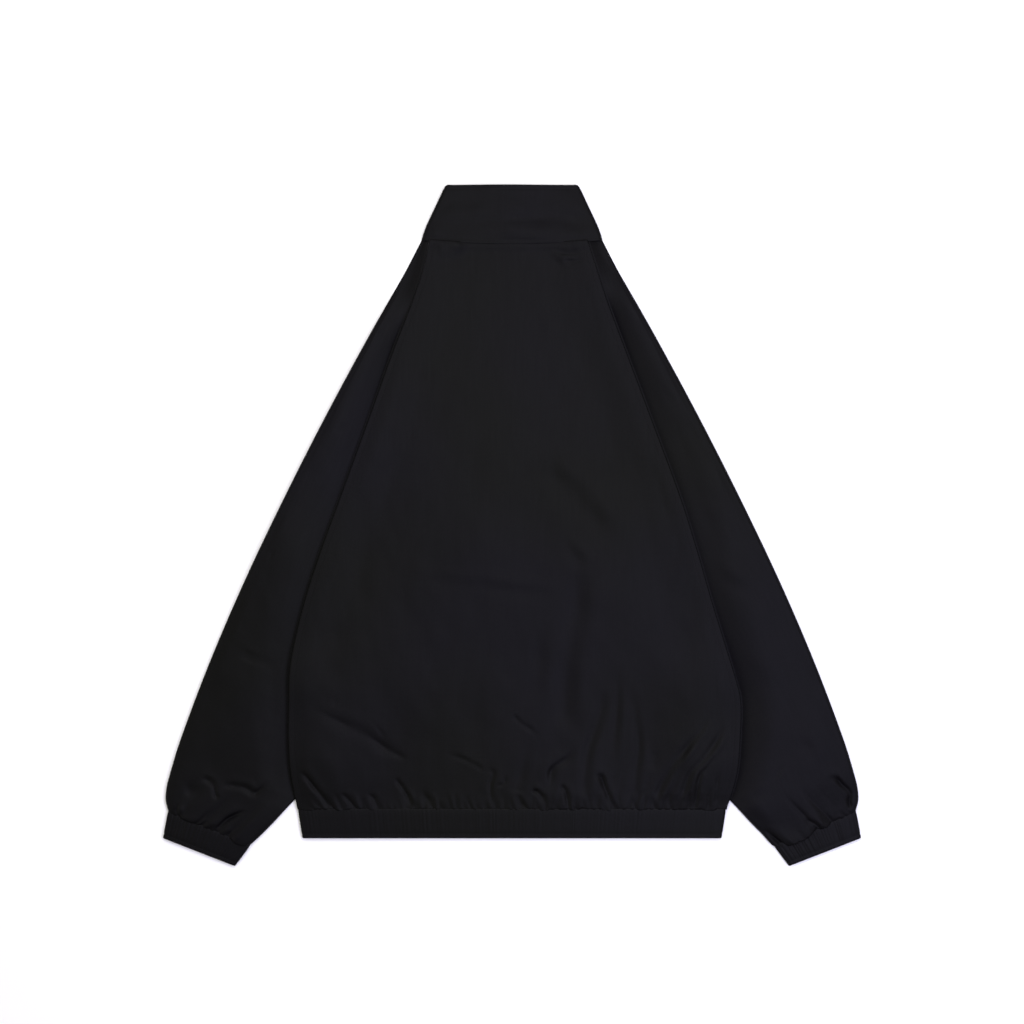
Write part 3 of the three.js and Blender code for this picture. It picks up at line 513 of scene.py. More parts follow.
# Its folds, each from its far end to the seam, in the columns of foldColumns
backFolds = [
    ("sharp", 3.4, 2.5, 0.8, 0.3, 0, [(-254, -290), (-244, -292), (-231, -308), (-218, -323),
     (-208, -333)]),
    ("sharp", 2.6, 2.2, 1, 0.4, 0, [(-201, -313), (-190, -323), (-178, -334)]),
    ("sharp", 2.6, 1.7, 0.8, 0.5, 0, [(-171, -314), (-160, -322), (-154, -332)]),
    ("sharp", 2.8, 2.2, 0.8, 0.35, 0, [(-138, -295), (-130, -306), (-122, -318), (-113, -333)]),
    ("sharp", 3, 0.9, 0.5, 0.5, 0, [(-104, -313), (-92, -330)]),
    ("sharp", 2.6, 0.8, 0.4, 0.5, 0, [(-88, -321), (-77, -333)]),
    ("soft", 7, 1.15, 0.1, 0.5, 0.2, [(-246, -204), (-224, -221), (-203, -231), (-179, -242), (-158, -254),
     (-148, -263), (-122, -274)]),
    ("sharp", 2.4, 0.5, 0.1, 0.4, 0.4, [(-232, -214), (-206, -228), (-184, -238)]),
    ("sharp", 2.8, 0.9, 0.2, 0.4, 0.2, [(-178, -240), (-156, -256), (-140, -266), (-122, -275)]),
    ("sharp", 2.4, 0.5, 0.1, 0.5, 0.3, [(-168, -226), (-156, -240), (-146, -252)]),
    ("sharp", 2.4, 0.6, 0.2, 0.5, 0.5, [(-226, -198), (-210, -205), (-195, -214)]),
    ("sharp", 2.4, 0.8, 0.3, 0.3, 0.2, [(-78, -268), (-60, -273), (-45, -280), (-32, -288)]),
    ("sharp", 3, 1, 0.4, 0.3, 0.1, [(-30, -286), (-21, -291), (-25, -306), (-23, -329)]),
    ("sharp", 2.6, 0.7, 0.3, 0.4, 0.4, [(-19, -306), (-10, -303), (-8, -292)]),
    ("sharp", 2.6, 0.9, 0.1, 0.1, 0.5, [(1, -223), (12, -233), (23, -240), (37, -254)]),
    ("soft", 7, 1, 0.2, 0.4, 0.1, [(20, -250), (13, -284), (5, -316)]),
    ("sharp", 3, 2, 1, 0.4, 0, [(7, -316), (12, -325), (20, -334)]),
    ("sharp", 3, 2, 1.2, 0.4, 0.3, [(23, -311), (30, -313), (40, -323)]),
    ("sharp", 5, 2, -1.1, 0.5, 0.3, [(75, -261), (64, -274), (52, -282), (45, -291), (45, -314)]),
    ("sharp", 3, 2.2, 1.2, 0.4, 0, [(57, -303), (64, -314), (67, -333)]),
    ("sharp", 2.8, 1.9, 1, 0.3, 0, [(71, -325), (80, -333), (93, -335)]),
    ("soft", 6, 1.6, 0.5, 0.35, 0.1, [(108, -190), (104, -219), (95, -247), (87, -275), (83, -325)]),
    ("sharp", 3, 2.4, 0.8, 0.3, 0, [(97, -295), (105, -295), (112, -314), (124, -333)]),
    ("soft", 4.6, 1.1, 0.4, 0.4, 0.1, [(140, -186), (146, -232), (149, -262), (146, -290), (145, -325)]),
    ("soft", 6, 0.8, 0, 0.5, 0.5, [(169, -262), (164, -290)]),
    ("soft", 4.2, 1.3, 0.8, 0.4, 0.1, [(218, -240), (208, -256), (193, -275), (180, -297), (168, -322)]),
    ("soft", 3.8, 1.3, 0.8, 0.3, 0.1, [(250, -232), (240, -253), (224, -275), (208, -293), (200, -322)]),
    ("soft", 3.2, 0.9, 0.5, 0.5, 0.3, [(232, -222), (222, -240), (206, -262), (192, -286)]),
    ("soft", 5, 0.9, 0.5, 0.4, 0.3, [(122, -168), (124, -206), (121, -246), (118, -286)]),
    ("sharp", 2.4, 0.8, -0.3, 0.5, 0.2, [(244, -264), (231, -280), (222, -293)]),
    ("sharp", 2.2, 0.9, -0.3, 0.5, 0, [(208, -300), (207, -330)]),
    ("sharp", 2.2, 1.2, -0.4, 0.5, 0, [(193, -314), (186, -333)]),
    ("sharp", 2.2, 0.9, -0.3, 0.5, 0, [(233, -306), (229, -332)]),
    ("sharp", 3, 1.7, 0.8, 0.4, 0, [(159, -308), (146, -322), (145, -329), (150, -336)]),
    ("sharp", 2.6, 1.5, 0.8, 0.4, 0, [(165, -318), (169, -335)]),
    ("sharp", 2.6, 1.7, 0.4, 0.4, 0, [(225, -280), (219, -303), (216, -330)]),
    ("sharp", 2.4, 0.9, 0.3, 0.5, 0.1, [(243, -286), (240, -325)]),
    ("soft", 13, 1.3, 1.2, 0.4, 0.35, [(24, 84), (56, 50), (92, 12), (128, -32)]),
    ("soft", 6, 0.35, 0.55, 0.3, 0.2, [(-125, -62), (-60, -68), (0, -76), (66, -84)]),
    ("soft", 7, 0.6, 0.6, 0.4, 0.4, [(52, -14), (74, -36), (92, -54)]),
    ("soft", 12, 1.7, 0.8, 0.25, 0.3, [(82, -40), (75, -100), (67, -150), (61, -215), (60, -250)]),
    ("soft", 10, 0.8, 0.4, 0.4, 0.4, [(36, -110), (30, -170), (24, -215)]),
    ("soft", 6, 0.5, 1, 0.3, 0.3, [(40, 322), (50, 312), (62, 305), (82, 304)]),
    ("sharp", 2.8, 1.6, 1, 0.4, 0.1, [(54, 315), (72, 312), (94, 316)]),
    ("sharp", 2.8, 1.4, 0.9, 0.4, 0.1, [(46, 328), (66, 321), (92, 325)]),
    ("soft", 8, 0.7, 1.5, 0.2, 0.3, [(-100, 316), (-76, 312), (-58, 318), (-44, 329)]),
]

bodyPuckers = {
    "seed": 7, "start": -248, "end": 248, "half": (1.3, 2.8), "reach": (8, 26), "height": (0.4, 1.5),
    "spacing": (1.5, 2.8), "lean": 0.35, "leanFrom": -0.75, "leanTo": 0.35,
}
longPuckers = {
    "seed": 31, "start": 20, "end": 246, "half": (2.0, 4.0), "reach": (30, 90), "height": (0.1, 0.4),
    "spacing": (1.7, 3.4), "lean": 0.12, "leanFrom": 0.05, "leanTo": 0.5,
}
hemBulges = [  # place along the hem, half width and reach
    (-240, 12, 3.6), (-219, 7, 1.0), (-201, 9, 3.8), (-183, 7, 2.0), (-163, 9, 3.4), (-143, 6, 1.2),
    (-127, 10, 4.2), (-104, 8, 1.6), (-86, 8, 2.6), (-66, 11, 1.0), (-40, 9, 2.4), (-18, 10, 1.4),
    (4, 8, 3.4), (22, 7, 1.8), (38, 8, 3.8), (56, 7, 1.6), (73, 8, 3.2), (94, 9, 1.4), (113, 8, 4.2),
    (132, 8, 1.8), (151, 8, 3.2), (170, 9, 1.4), (190, 9, 2.8), (211, 8, 1.2), (232, 10, 3.6),
]


# The front rises over the sleeve where that is tucked under the body, and a little at the band
tuck = {"rise": 3.95, "inset": (68, 46), "y": (-140, -180), "endY": -322.5, "bandRise": 0.7}


def frontMid(x, y, side):
    edge = edgeAt(side, y)
    near = ease(edge - tuck["inset"][0], edge - tuck["inset"][1], np.abs(x))
    atBand = ease(tuck["endY"], bodyLowY, y)
    rise = tuck["rise"] * ease(*tuck["y"], y) * (1 - atBand)
    return floorMid + rise * near + tuck["bandRise"] * atBand


# Height of the sleeve where it comes out from under the body
sleeveSeam = {"waist": 2.3, "arm": 3.6, "armY": (-150, -60), "shoulder": 5.6, "shoulderY": (225, 285)}


def sleeveSeamZ(y):
    belowShoulder = lerp(sleeveSeam["waist"], sleeveSeam["arm"], ease(*sleeveSeam["armY"], y))
    return lerp(belowShoulder, sleeveSeam["shoulder"], ease(*sleeveSeam["shoulderY"], y))


rollOver = {"front": 0.8, "sleeve": 1}  # the rolled edge ends this far over the middle of the cloth below it


def rollEndAt(side, y):
    overFront = frontMid(edgeAt(side, y), y, side) + rollOver["front"]
    overSleeve = sleeveSeamZ(y) + rollOver["sleeve"]
    return np.where(y < tuck["endY"], overFront, np.maximum(overSleeve, overFront))


def backHeight(x, y):
    shape = backShape
    edge = np.where(x < 0, edgeAt("left", y), edgeAt("right", y))
    inset = edge - np.abs(x)
    fromSeam = y - bodyLowY
    offSeam = ease(0, shape["seamRise"], fromSeam + shape["seamStart"])
    swell = shape["sideSwell"] * ease(*shape["sideInset"], inset) * ease(*shape["sideY"], y)
    swell = swell * ease(*shape["sideAbove"], fromSeam)
    swell = swell + shape["edgeSwell"] * ease(*shape["edgeInset"], inset) * ease(*shape["edgeY"], y)
    blouse = shape["blouse"] * ease(*shape["blouseY"], y)
    small = puckers(x, fromSeam, bodyPuckers) + puckers(x, fromSeam, longPuckers)
    folds = foldHeight(x, y, backFolds) + small
    waves = looseness(x, y, shape["looseness"])
    free = ease(*shape["creaseInset"], inset) * lerp(shape["creaseAtSeam"], 1, offSeam)
    groove = shape["grooveDepth"] * hump(inset, shape["stitchInset"], shape["grooveHalf"])
    atNeck = shape["neckRise"] * ease(neckSeamY - shape["neckReach"], neckSeamY, y)
    plain = lerp(shape["atBand"], shape["plain"], offSeam) + atNeck
    return plain + offSeam * (swell + blouse) + (folds + waves) * free - groove


def backGrid():
    shape = backShape
    rows = stretches([bodyLowY, *shape["rowMarks"], sleeveTopY], shape["rowSteps"])
    rows = np.concatenate([[bodyLowY - seamLap], rows, [sleeveTopY + seamLap]])[:, None]
    edges = {"left": edgeAt("left", rows), "right": edgeAt("right", rows)}
    insets = np.array(shape["edgeInsets"])[None, :]
    share = np.linspace(0, 1, shape["columns"] + 1)[None, 1:-1]
    between = lerp(-(edges["left"] - insets.max()), edges["right"] - insets.max(), share)
    x = np.concatenate([-(edges["left"] - insets[:, ::-1]), between, edges["right"] - insets], 1)
    z = backHeight(x, np.broadcast_to(rows, x.shape))
    rollStart = insets.min()
    reach = rollStart - clothThick / 2
    turn = (np.arange(1, shape["rollSteps"] + 1) / shape["rollSteps"] * math.pi / 2)[None, :]
    rollX, rollZ = {}, {}
    for side, sign in signs.items():
        crest = backHeight(sign * (edges[side] - rollStart), rows)
        end = rollEndAt(side, rows)
        rollX[side] = sign * (edges[side] - rollStart + reach * np.sin(turn))
        rollZ[side] = end + (crest - end) * np.cos(turn)
    x = np.concatenate([rollX["left"][:, ::-1], x, rollX["right"]], 1)
    z = np.concatenate([rollZ["left"][:, ::-1], z, rollZ["right"]], 1)
    y = rows + (neckSeam(x) - sleeveTopY) * ease(neckFromY, sleeveTopY, rows)
    y = y - shape["bulgeReach"] * overhang(x, hemBulges) * bulgeShare(y - bodyLowY, shape["bulgeHeight"])
    z[0] = np.minimum(z[0], z[1]) - shape["underBand"]
    z[-1] = np.minimum(z[-1], z[-2]) - shape["underCollar"]
    return np.stack([x, y, z], -1)


back = backGrid()
clothPiece("back_shell", back, {
    "material": bodyNylon, "node": "back_panel", "slot": "shell", "held": "laid",
    "restsOn": ["sleeve_left_shell", "sleeve_right_shell"],
})
print("back: made")


# The zip lies inside the front, on the edges of the panels
zipTape = {
    "inner": 3.1, "outer": 15.9, "thick": 0.7, "gap": 0.8, "columns": 6, "ends": 0.3,
    "rowMarks": [-334, -312, 296, 350], "rowSteps": [6, 2, 12, 3, 6],
}
# Thickness of what the tape lies on
frontWall = {"band": 3.0, "bandY": (-330, -316), "shell": 1.6, "collar": 2.2, "collarY": (298, 314)}
sliderRise = {"height": 1.5, "y": (318, 345), "x": (20, 48)}


def sliderLift(x, y):  # how far the slider under the zip lifts the cloth over it
    return sliderRise["height"] * ease(*sliderRise["y"], y) * (1 - ease(*sliderRise["x"], np.abs(x)))


def tapeMid(x, y):
    wall = lerp(frontWall["band"], frontWall["shell"], ease(*frontWall["bandY"], y))
    wall = lerp(wall, frontWall["collar"], ease(*frontWall["collarY"], y))
    return wall + zipTape["gap"] + sliderLift(x, y)


# The front panels, on the floor and over the tucked sleeves. Their edges turn back over the zip's tapes.
frontShape = {
    "columns": 60, "rowMarks": [-296, -200, 290], "rowSteps": [2.4, 4, 9, 4], "edgeInset": (3.1, 0.2),
    "edgeY": (-180, -196), "facing": [18, 13, 9.5, 7.4], "turnX": 6.4, "turnWidth": 1.2, "turnSteps": 5,
    "beside": 8, "stitchX": 9.5, "plainX": 12, "creaseX": (9, 20), "creaseRange": (-0.1, 2), "dipY": 150,
}


def frontEnd(side, y):
    return edgeAt(side, y) - lerp(*frontShape["edgeInset"], ease(*frontShape["edgeY"], y))


frontFolds = [
    ("sharp", 5, 0.25, 0.9, 0.5, 0, [(60, -270), (74, -300), (82, -331)]),
    ("sharp", 6, 0.25, 1.1, 0.5, 0, [(128, -262), (142, -296), (140, -331)]),
    ("sharp", 4, 0.2, 0.7, 0.5, 0, [(30, -290), (26, -331)]),
]


def frontGrid(side):
    shape = frontShape
    sign = signs[side]
    rows = stretches([bodyLowY, *shape["rowMarks"], sleeveTopY], shape["rowSteps"])[:, None]
    share = np.linspace(0, 1, shape["columns"] + 1)[None, :]
    flat = np.broadcast_to([shape["turnX"], shape["beside"], shape["stitchX"]], (len(rows), 3))
    x = np.concatenate([flat, lerp(shape["plainX"], frontEnd(side, rows), share)], 1)
    y = np.broadcast_to(rows, x.shape)
    creases = foldHeight(x, y, frontFolds).clip(*shape["creaseRange"])
    z = frontMid(x, y, side) + creases * ease(*shape["creaseX"], x)
    facingX = np.broadcast_to(shape["facing"], (len(rows), len(shape["facing"])))
    facingZ = tapeMid(facingX, rows) - zipTape["thick"] / 2 - clothThick / 2
    turn = np.linspace(0, math.pi, shape["turnSteps"] + 2)[None, 1:-1]
    turnX = shape["turnX"] - shape["turnWidth"] * np.sin(turn) + 0 * rows
    turnZ = (facingZ[:, -1:] + z[:, :1]) / 2 + (facingZ[:, -1:] - z[:, :1]) / 2 * np.cos(turn)
    x = np.concatenate([facingX, turnX, x], 1)
    z = np.concatenate([facingZ, turnZ, z], 1)
    dip = (frontNeckSeam(x) - neckSeam(x)) * ease(shape["dipY"], sleeveTopY, rows)
    y = rows + dip + (neckSeam(x) - sleeveTopY) * ease(neckFromY, sleeveTopY, rows)
    return np.stack([sign * x, y, z], -1)


fronts = {}
for side in signs:
    fronts[side] = frontGrid(side)
    clothPiece(f"front_{side}_shell", fronts[side], {
        "material": bodyNylon, "node": f"front_{side}", "slot": "shell", "held": "laid",
        "restsOn": [f"sleeve_{side}_shell"],
    }, flip=side == "left")
print("fronts: made")


# The sleeves: flattened tubes that turn back at the outer arm
sleeveShape = {
    "underlap": 3, "hidden": 5, "upper": 112, "lower": 26, "foldWidth": 3.6, "foldSteps": 6, "overFloor": 0.7,
    "crown": 11.2, "narrowCrown": 1.8, "wide": (24, 36),  # narrow by the neck, where it falls from the body
    "ramp": 46, "rampShare": 0.85, "crownFall": 0.06, "crownFallFrom": 0.8,
    "drop": {"left": 3.6, "right": 0}, "dropY": (-40, -170),  # the left forearm lies flatter
    "freeRise": 0.6, "freeWidth": (-4, 24), "freeY": (-318, -338),  # the underarm edge that lies free
    "roundWidth": 2.2, "roundLow": 0.25, "roundY": (-205, -240),
    "cuffCrown": 7.0, "cuffReach": (4, 56), "cuffSeamZ": 6.1, "seamReach": 10, "creaseAtSeam": 0.3,
    "puff": 0.3, "puffMost": 2.4, "puffReach": (60, 18), "puffStart": 4, "bulgeHeight": 20,
    "neckReach": 44, "levelY": 240, "endMid": 3, "cuffEndShare": 0.14, "neckEndShare": 0.2,
    "looseness": [(2.0, 90, 1.8, 4), (0.7, 36, 1.5, 5), (0.25, 16, 1.3, 6)],
    "raglanEndY": -197, "raglanStep": 8.0, "rowMarks": [0, 34, -130, -48, 0], "rowSteps": [4, 5.6, 3, 1.5],
}
cuffAngle = math.atan2(
    cuffCorners["seamOuter"][1] - cuffCorners["seamInner"][1],
    cuffCorners["seamOuter"][0] - cuffCorners["seamInner"][0],
)
upArm = np.array([-math.sin(cuffAngle), math.cos(cuffAngle)])


# Points down the sleeve's inner edge, from the neck along the raglan seam and the underarm to the cuff, and
# how far each is from the cuff
def innerEdge(side):
    shape = sleeveShape
    raglan = np.arange(sleeveTopY, shape["raglanEndY"], -shape["raglanStep"])
    last = np.array(cuffCorners["seamInner"]) + upArm * seamGap
    points = np.stack([
        np.concatenate([edgeAt(side, raglan) - shape["underlap"], underarmEdge["x"], last[:1]]),
        np.concatenate([raglan, underarmEdge["y"], last[1:]]),
    ], 1)
    lengths = lengthsAlong(points)
    total = lengths[-1]
    fromNeck, toCuff = shape["rowMarks"][:2], shape["rowMarks"][2:]
    places = stretches([*fromNeck, *(total + mark for mark in toCuff)], shape["rowSteps"])
    byLength = {"s": lengths, "x": points[:, 0], "y": points[:, 1]}
    return readTable(byLength, "s", "x", places), readTable(byLength, "s", "y", places), total - places


# How far the body covers a sleeve, from its inner edge outwards
def coveredWidth(side, inner, across, width):
    covered = 2.0
    past, step = 1.5, 0.5
    while inner[1] > bandTopY and covered < width / 2:
        at = np.array(inner) + across * covered / width
        if at[0] - edgeAt(side, at[1]) > past:
            break
        covered += step
    return covered


# Rows across a sleeve: the point on the inner edge, the way across, the width, the distance to the cuff
# and how far the body covers it
def sleeveRows(side):
    outerLast = np.array(cuffCorners["seamOuter"]) + upArm * seamGap
    rows = []
    for innerX, innerY, left in zip(*innerEdge(side)):
        tilt = cuffAngle * ease(sleeveTopY, sleeveShape["levelY"], innerY)
        y = innerY
        for _ in range(30):  # comes to rest where the tilted row meets the arm's outline
            y = innerY + math.tan(tilt) * (readTable(armOutline, "y", "x", y) - innerX)
        outer = np.array([readTable(armOutline, "y", "x", y), y])
        if left < 1e-6:
            outer = outerLast
        inner = (innerX, innerY)
        across = outer - inner
        width = float(np.hypot(*across))
        toCuff = ((np.array(inner) - cuffCorners["seamInner"]) @ upArm
                  + (outer - cuffCorners["seamOuter"]) @ upArm) / 2
        rows.append({"inner": inner, "across": across / width, "width": width, "toCuff": float(toCuff),
                     "covered": coveredWidth(side, inner, across, width)})
    return rows


# Folds of the sleeves in the columns of foldColumns, with x outwards on both sides
sleeveFolds = {
    "left": [
        ("sharp", 3, 3.2, -2, 0.2, 0.4, [(392, -325), (393, -338), (385, -346), (374, -347), (365, -343),
         (350, -330)]),
        ("sharp", 3, 1.7, -0.8, 0.4, 0.3, [(369, -297), (360, -298), (351, -304), (348, -317),
         (343, -321)]),
        ("sharp", 3.6, 2.2, -1.2, 0.25, 0.5, [(341, -305), (327, -305), (313, -308), (302, -314),
         (293, -307), (279, -301)]),
        ("sharp", 3.4, 2.4, 1.4, 0.4, 0, [(311, -335), (321, -338), (335, -345), (345, -354), (350, -361)]),
        ("sharp", 2.8, 2.6, -1.6, 0.2, 0.3, [(328, -361), (334, -366), (334, -372), (324, -376),
         (310, -375)]),
        ("sharp", 12, 1.2, 0, 0.4, 0.4, [(379, -297), (378, -325)]),
        ("sharp", 2.6, 0.8, -0.3, 0.3, 0.5, [(325, -146), (300, -158), (276, -168)]),
        ("sharp", 2.4, 0.6, -0.2, 0.2, 0.5, [(290, -21), (283, -33), (276, -45)]),
        ("sharp", 2.4, 0.6, -0.2, 0.3, 0.4, [(209, 121), (199, 112), (190, 104)]),
        ("sharp", 2.6, 0.5, -0.2, 0.4, 0.3, [(247, -202), (230, -212), (213, -226)]),
        ("sharp", 3.2, 1, -0.5, 0.3, 0.3, [(168, 237), (150, 232), (138, 222)]),
        ("sharp", 7, 1.6, 0, 0.2, 0.4, [(120, 300), (114, 280), (106, 262)]),
    ],
    "right": [
        ("sharp", 3.2, 3.2, 2, 0.2, 0.25, [(292, -358), (306, -362), (320, -367), (338, -373), (351, -373),
         (357, -368)]),
        ("sharp", 3, 2.6, 1.4, 0.3, 0.3, [(341, -346), (351, -345), (358, -348), (362, -355), (368, -358),
         (374, -355), (369, -346)]),
        ("sharp", 3.4, 2.2, 1.2, 0.3, 0.1, [(369, -298), (381, -297), (388, -304), (398, -314), (397, -325),
         (400, -333)]),
        ("soft", 3, 0.35, 0.2, 0.4, 0.4, [(322, -279), (314, -288), (304, -303)]),
        ("soft", 7, 0.4, 0.4, 0.4, 0.4, [(330, -250), (348, -262), (352, -280)]),
        ("soft", 6, 0.3, 0.3, 0.4, 0.4, [(172, 165), (184, 150), (190, 140)]),
        ("sharp", 5, 2, 0.8, 0.1, 0.5, [(94, 326), (106, 317), (122, 305)]),
        ("soft", 9, 0.5, 0.5, 0.4, 0.4, [(222, -56), (262, -70), (300, -92)]),
    ],
}

cuffPuckers = {
    "seed": 19, "start": 3, "end": 104, "half": (2.0, 3.8), "reach": (7, 24), "height": (0.4, 1.5),
    "spacing": (1.4, 2.4), "lean": 0.3, "leanFrom": -0.2, "leanTo": 0.2,
}
cuffBulges = {
    "left": [(14, 11, 9.0), (38, 9, 1.0), (54, 8, 2.0), (78, 14, 5.5), (98, 7, 1.5)],
    "right": [(27, 26, 13.0), (64, 9, 8.0), (82, 8, 2.0), (98, 7, 1.0)],
}


# Height of a sleeve's upper layer at points x, y of a row, which are the distances a from its inner edge
def sleeveTop(side, row, a, flat, x, y):
    shape = sleeveShape
    width, toCuff, covered, innerY = row["width"], row["toCuff"], row["covered"], row["inner"][1]
    ramp = min(shape["ramp"], (width - covered) * shape["rampShare"])
    rise = np.sin(np.clip((a - covered) / ramp, 0, 1) * math.pi / 2)
    freeRise = lerp(shape["freeRise"], 1, ease(*shape["freeWidth"], a))
    rise = lerp(rise, freeRise, ease(*shape["freeY"], innerY))
    toFold = 1 - shape["crownFall"] * ease(width * shape["crownFallFrom"], flat, a)
    crownZ = lerp(shape["narrowCrown"], shape["crown"], ease(*shape["wide"], width)) * toFold
    crownZ = crownZ - shape["drop"][side] * ease(*shape["dropY"], innerY) * toFold
    crownZ = lerp(shape["cuffCrown"], crownZ, ease(*shape["cuffReach"], toCuff))
    seamZ = sleeveSeamZ(innerY)
    offSeam = ease(0, shape["seamReach"], toCuff)
    atCuff = (shape["cuffSeamZ"] - crownZ) * (1 - offSeam)
    puff = np.minimum(shape["puffMost"], shape["puff"] * overhang(a, cuffBulges[side]))
    puff = puff * ease(*shape["puffReach"], toCuff) * ease(0, shape["puffStart"], toCuff)
    free = ease(covered + 3, covered + 24, a) * ease(width - 4, width - 16, a)  # no creases at the edges
    freeByCuff = ease(2, 12, a) * ease(width - 3, width - 12, a)
    free = lerp(free, freeByCuff, ease(70, 30, toCuff)) * lerp(shape["creaseAtSeam"], 1, offSeam)
    sideSeed = cuffPuckers["seed"] + (side == "right")
    small = puckers(a, np.full(a.shape, toCuff), {**cuffPuckers, "seed": sideSeed})
    waves = looseness(signs[side] * x, y, shape["looseness"])
    creases = foldHeight(x, y, sleeveFolds[side]) + small + waves
    z = seamZ + rise * (crownZ - seamZ + puff + atCuff) + creases * free
    return np.maximum(z, floorMid + shape["overFloor"])


def sleeveGrid(side):
    shape = sleeveShape
    sign = signs[side]
    grid = []
    for row in sleeveRows(side):
        covered, toCuff, innerY = row["covered"], row["toCuff"], row["inner"][1]
        flat = row["width"] - clothThick / 2 - shape["foldWidth"]
        hidden = np.linspace(0, covered, shape["hidden"])[:-1]
        a = np.concatenate([hidden, np.linspace(covered, flat, shape["upper"])])
        x, y = (row["inner"][k] + row["across"][k] * a for k in (0, 1))
        z = sleeveTop(side, row, a, flat, x, y)
        low = floorMid + shape["roundLow"]
        rounded = low + (z - low) * np.sqrt(1 - np.clip(1 - a / shape["roundWidth"], 0, 1) ** 2)
        z = lerp(z, rounded, ease(*shape["roundY"], innerY))
        turn = math.pi * np.arange(1, shape["foldSteps"] + 1) / shape["foldSteps"]
        foldZ = (z[-1] + floorMid) / 2 + (z[-1] - floorMid) / 2 * np.cos(turn)
        under = np.linspace(flat, 0, shape["lower"] + 1)[1:]
        a = np.concatenate([a, flat + shape["foldWidth"] * np.sin(turn), under])
        z = np.concatenate([z, foldZ, np.full(under.shape, floorMid)])
        x, y = (row["inner"][k] + row["across"][k] * a for k in (0, 1))
        y = y + (neckSeam(x) - sleeveTopY) * ease(shape["neckReach"], 0, sleeveTopY - innerY)
        bulge = overhang(a, cuffBulges[side]) * bulgeShare(toCuff, shape["bulgeHeight"])
        bulge = bulge * ease(floorMid + 1, 4, z)  # not where the cloth lies on the floor
        grid.append(np.stack([sign * (x - upArm[0] * bulge), y - upArm[1] * bulge, z], -1))
    inCuff = grid[-1] - np.array([sign * upArm[0], upArm[1], 0]) * seamLap
    inCuff[:, 2] = lerp(inCuff[:, 2], shape["endMid"], shape["cuffEndShare"])
    inCollar = grid[0] + np.array([0, seamLap, 0])
    inCollar[:, 2] = lerp(inCollar[:, 2], shape["endMid"], shape["neckEndShare"])
    return np.stack([inCollar, *grid, inCuff])


sleeves = {}
for side in signs:
    sleeves[side] = sleeveGrid(side)
    clothPiece(f"sleeve_{side}_shell", sleeves[side], {
        "material": sleeveNylon[side], "node": f"sleeve_{side}", "slot": "shell", "held": "laid",
        "restsOn": [],
    }, flip=side == "left")
print("sleeves: made")


# Middle line round a flattened tube between two points: over the top, round one end, back underneath
# and round the other. A slit leaves the ring open in the middle of its underside.
def tubeLine(innerEnd, outerEnd, tube, count):
    innerEnd, outerEnd = np.array(innerEnd, float), np.array(outerEnd, float)
    width = np.linalg.norm(outerEnd - innerEnd)
    way = (outerEnd - innerEnd) / width
    foldWidth, slit = tube["foldWidth"], tube.get("slit", 0)
    low = tube["half"] + foldWidth
    high = width - low
    half = (tube["top"] - tube["floor"]) / 2
    turns = [(math.sin(t), math.cos(t)) for t in np.linspace(0, math.pi, 13)[1:-1]]
    innerTurn = [(low, -half), *((low - foldWidth * s, -half * c) for s, c in turns), (low, half)]
    outerTurn = [(high, half), *((high + foldWidth * s, half * c) for s, c in turns), (high, -half)]
    if slit:
        path = [(width / 2 - slit, -half), *innerTurn, *outerTurn, (width / 2 + slit, -half)]
    else:
        path = [(low, half), *outerTurn, *innerTurn]
    path = np.array(path)
    lengths = lengthsAlong(path)
    places = np.linspace(0, lengths[-1], count, endpoint=bool(slit))
    a = np.interp(places, lengths, path[:, 0])
    z = (tube["top"] + tube["floor"]) / 2 + np.interp(places, lengths, path[:, 1])
    line = innerEnd + way * a[:, None]
    return np.concatenate([line, z[:, None]], 1)


# Ribs of cloth gathered on elastic: rounded crests, sharp valleys, uneven in width and height
ribForm = {"width": (0.5, 1.6), "height": (0.15, 1.0), "mostlyLow": 1.5, "round": 0.7}


def gatheredRibs(columns, count, seed):
    chance = np.random.default_rng(seed)
    widths = chance.uniform(*ribForm["width"], count)
    marks = np.append(0, np.cumsum(widths)) / widths.sum()
    heights = chance.uniform(*ribForm["height"], count + 1) ** ribForm["mostlyLow"]
    place = np.linspace(0, 1, columns)
    phase = np.interp(place, marks, np.arange(count + 1))
    crest = np.abs(np.sin(math.pi * phase)) ** ribForm["round"]
    return crest * np.interp(phase, np.arange(count + 1), heights)


# How a casing changes from its mouth at 0 to its seam at 1: the stitches and the seam flatten its ribs
casingForm = {
    "rows": [0, 0.03, 0.07, 0.12, 0.16, 0.2, 0.3, 0.42, 0.54, 0.66, 0.78, 0.88, 0.95, 1.0], "sewnRow": 3,
    "mouthShare": 0.45, "mouthReach": 0.1, "stitchHalf": 0.05, "stitchFlat": 0.75, "stitchThin": 0.25,
    "seamFrom": 0.85, "seamFlat": 0.35,
}


def casingGrid(mouth, seam, casing):
    form = casingForm
    rows = np.array(form["rows"])
    ribs = gatheredRibs(casing["columns"], casing["ribs"], casing["seed"])
    mouth, seam = np.array(mouth, float), np.array(seam, float)
    middle = np.array([tubeLine(*lerp(mouth, seam, v), casing, casing["columns"]) for v in rows])
    stitched = hump(rows, casing["stitchAt"], form["stitchHalf"])
    bySeam = form["seamFlat"] * ease(form["seamFrom"], 1, rows)
    byMouth = lerp(form["mouthShare"], 1, ease(0, form["mouthReach"], rows))
    strength = casing["ribHeight"] * byMouth * (1 - form["stitchFlat"] * stitched) * (1 - bySeam)
    thick = casing["half"] * (1 - form["stitchThin"] * stitched - bySeam)
    return doubled(middle, thick[:, None], strength[:, None] * ribs[None, :], "slit" not in casing)


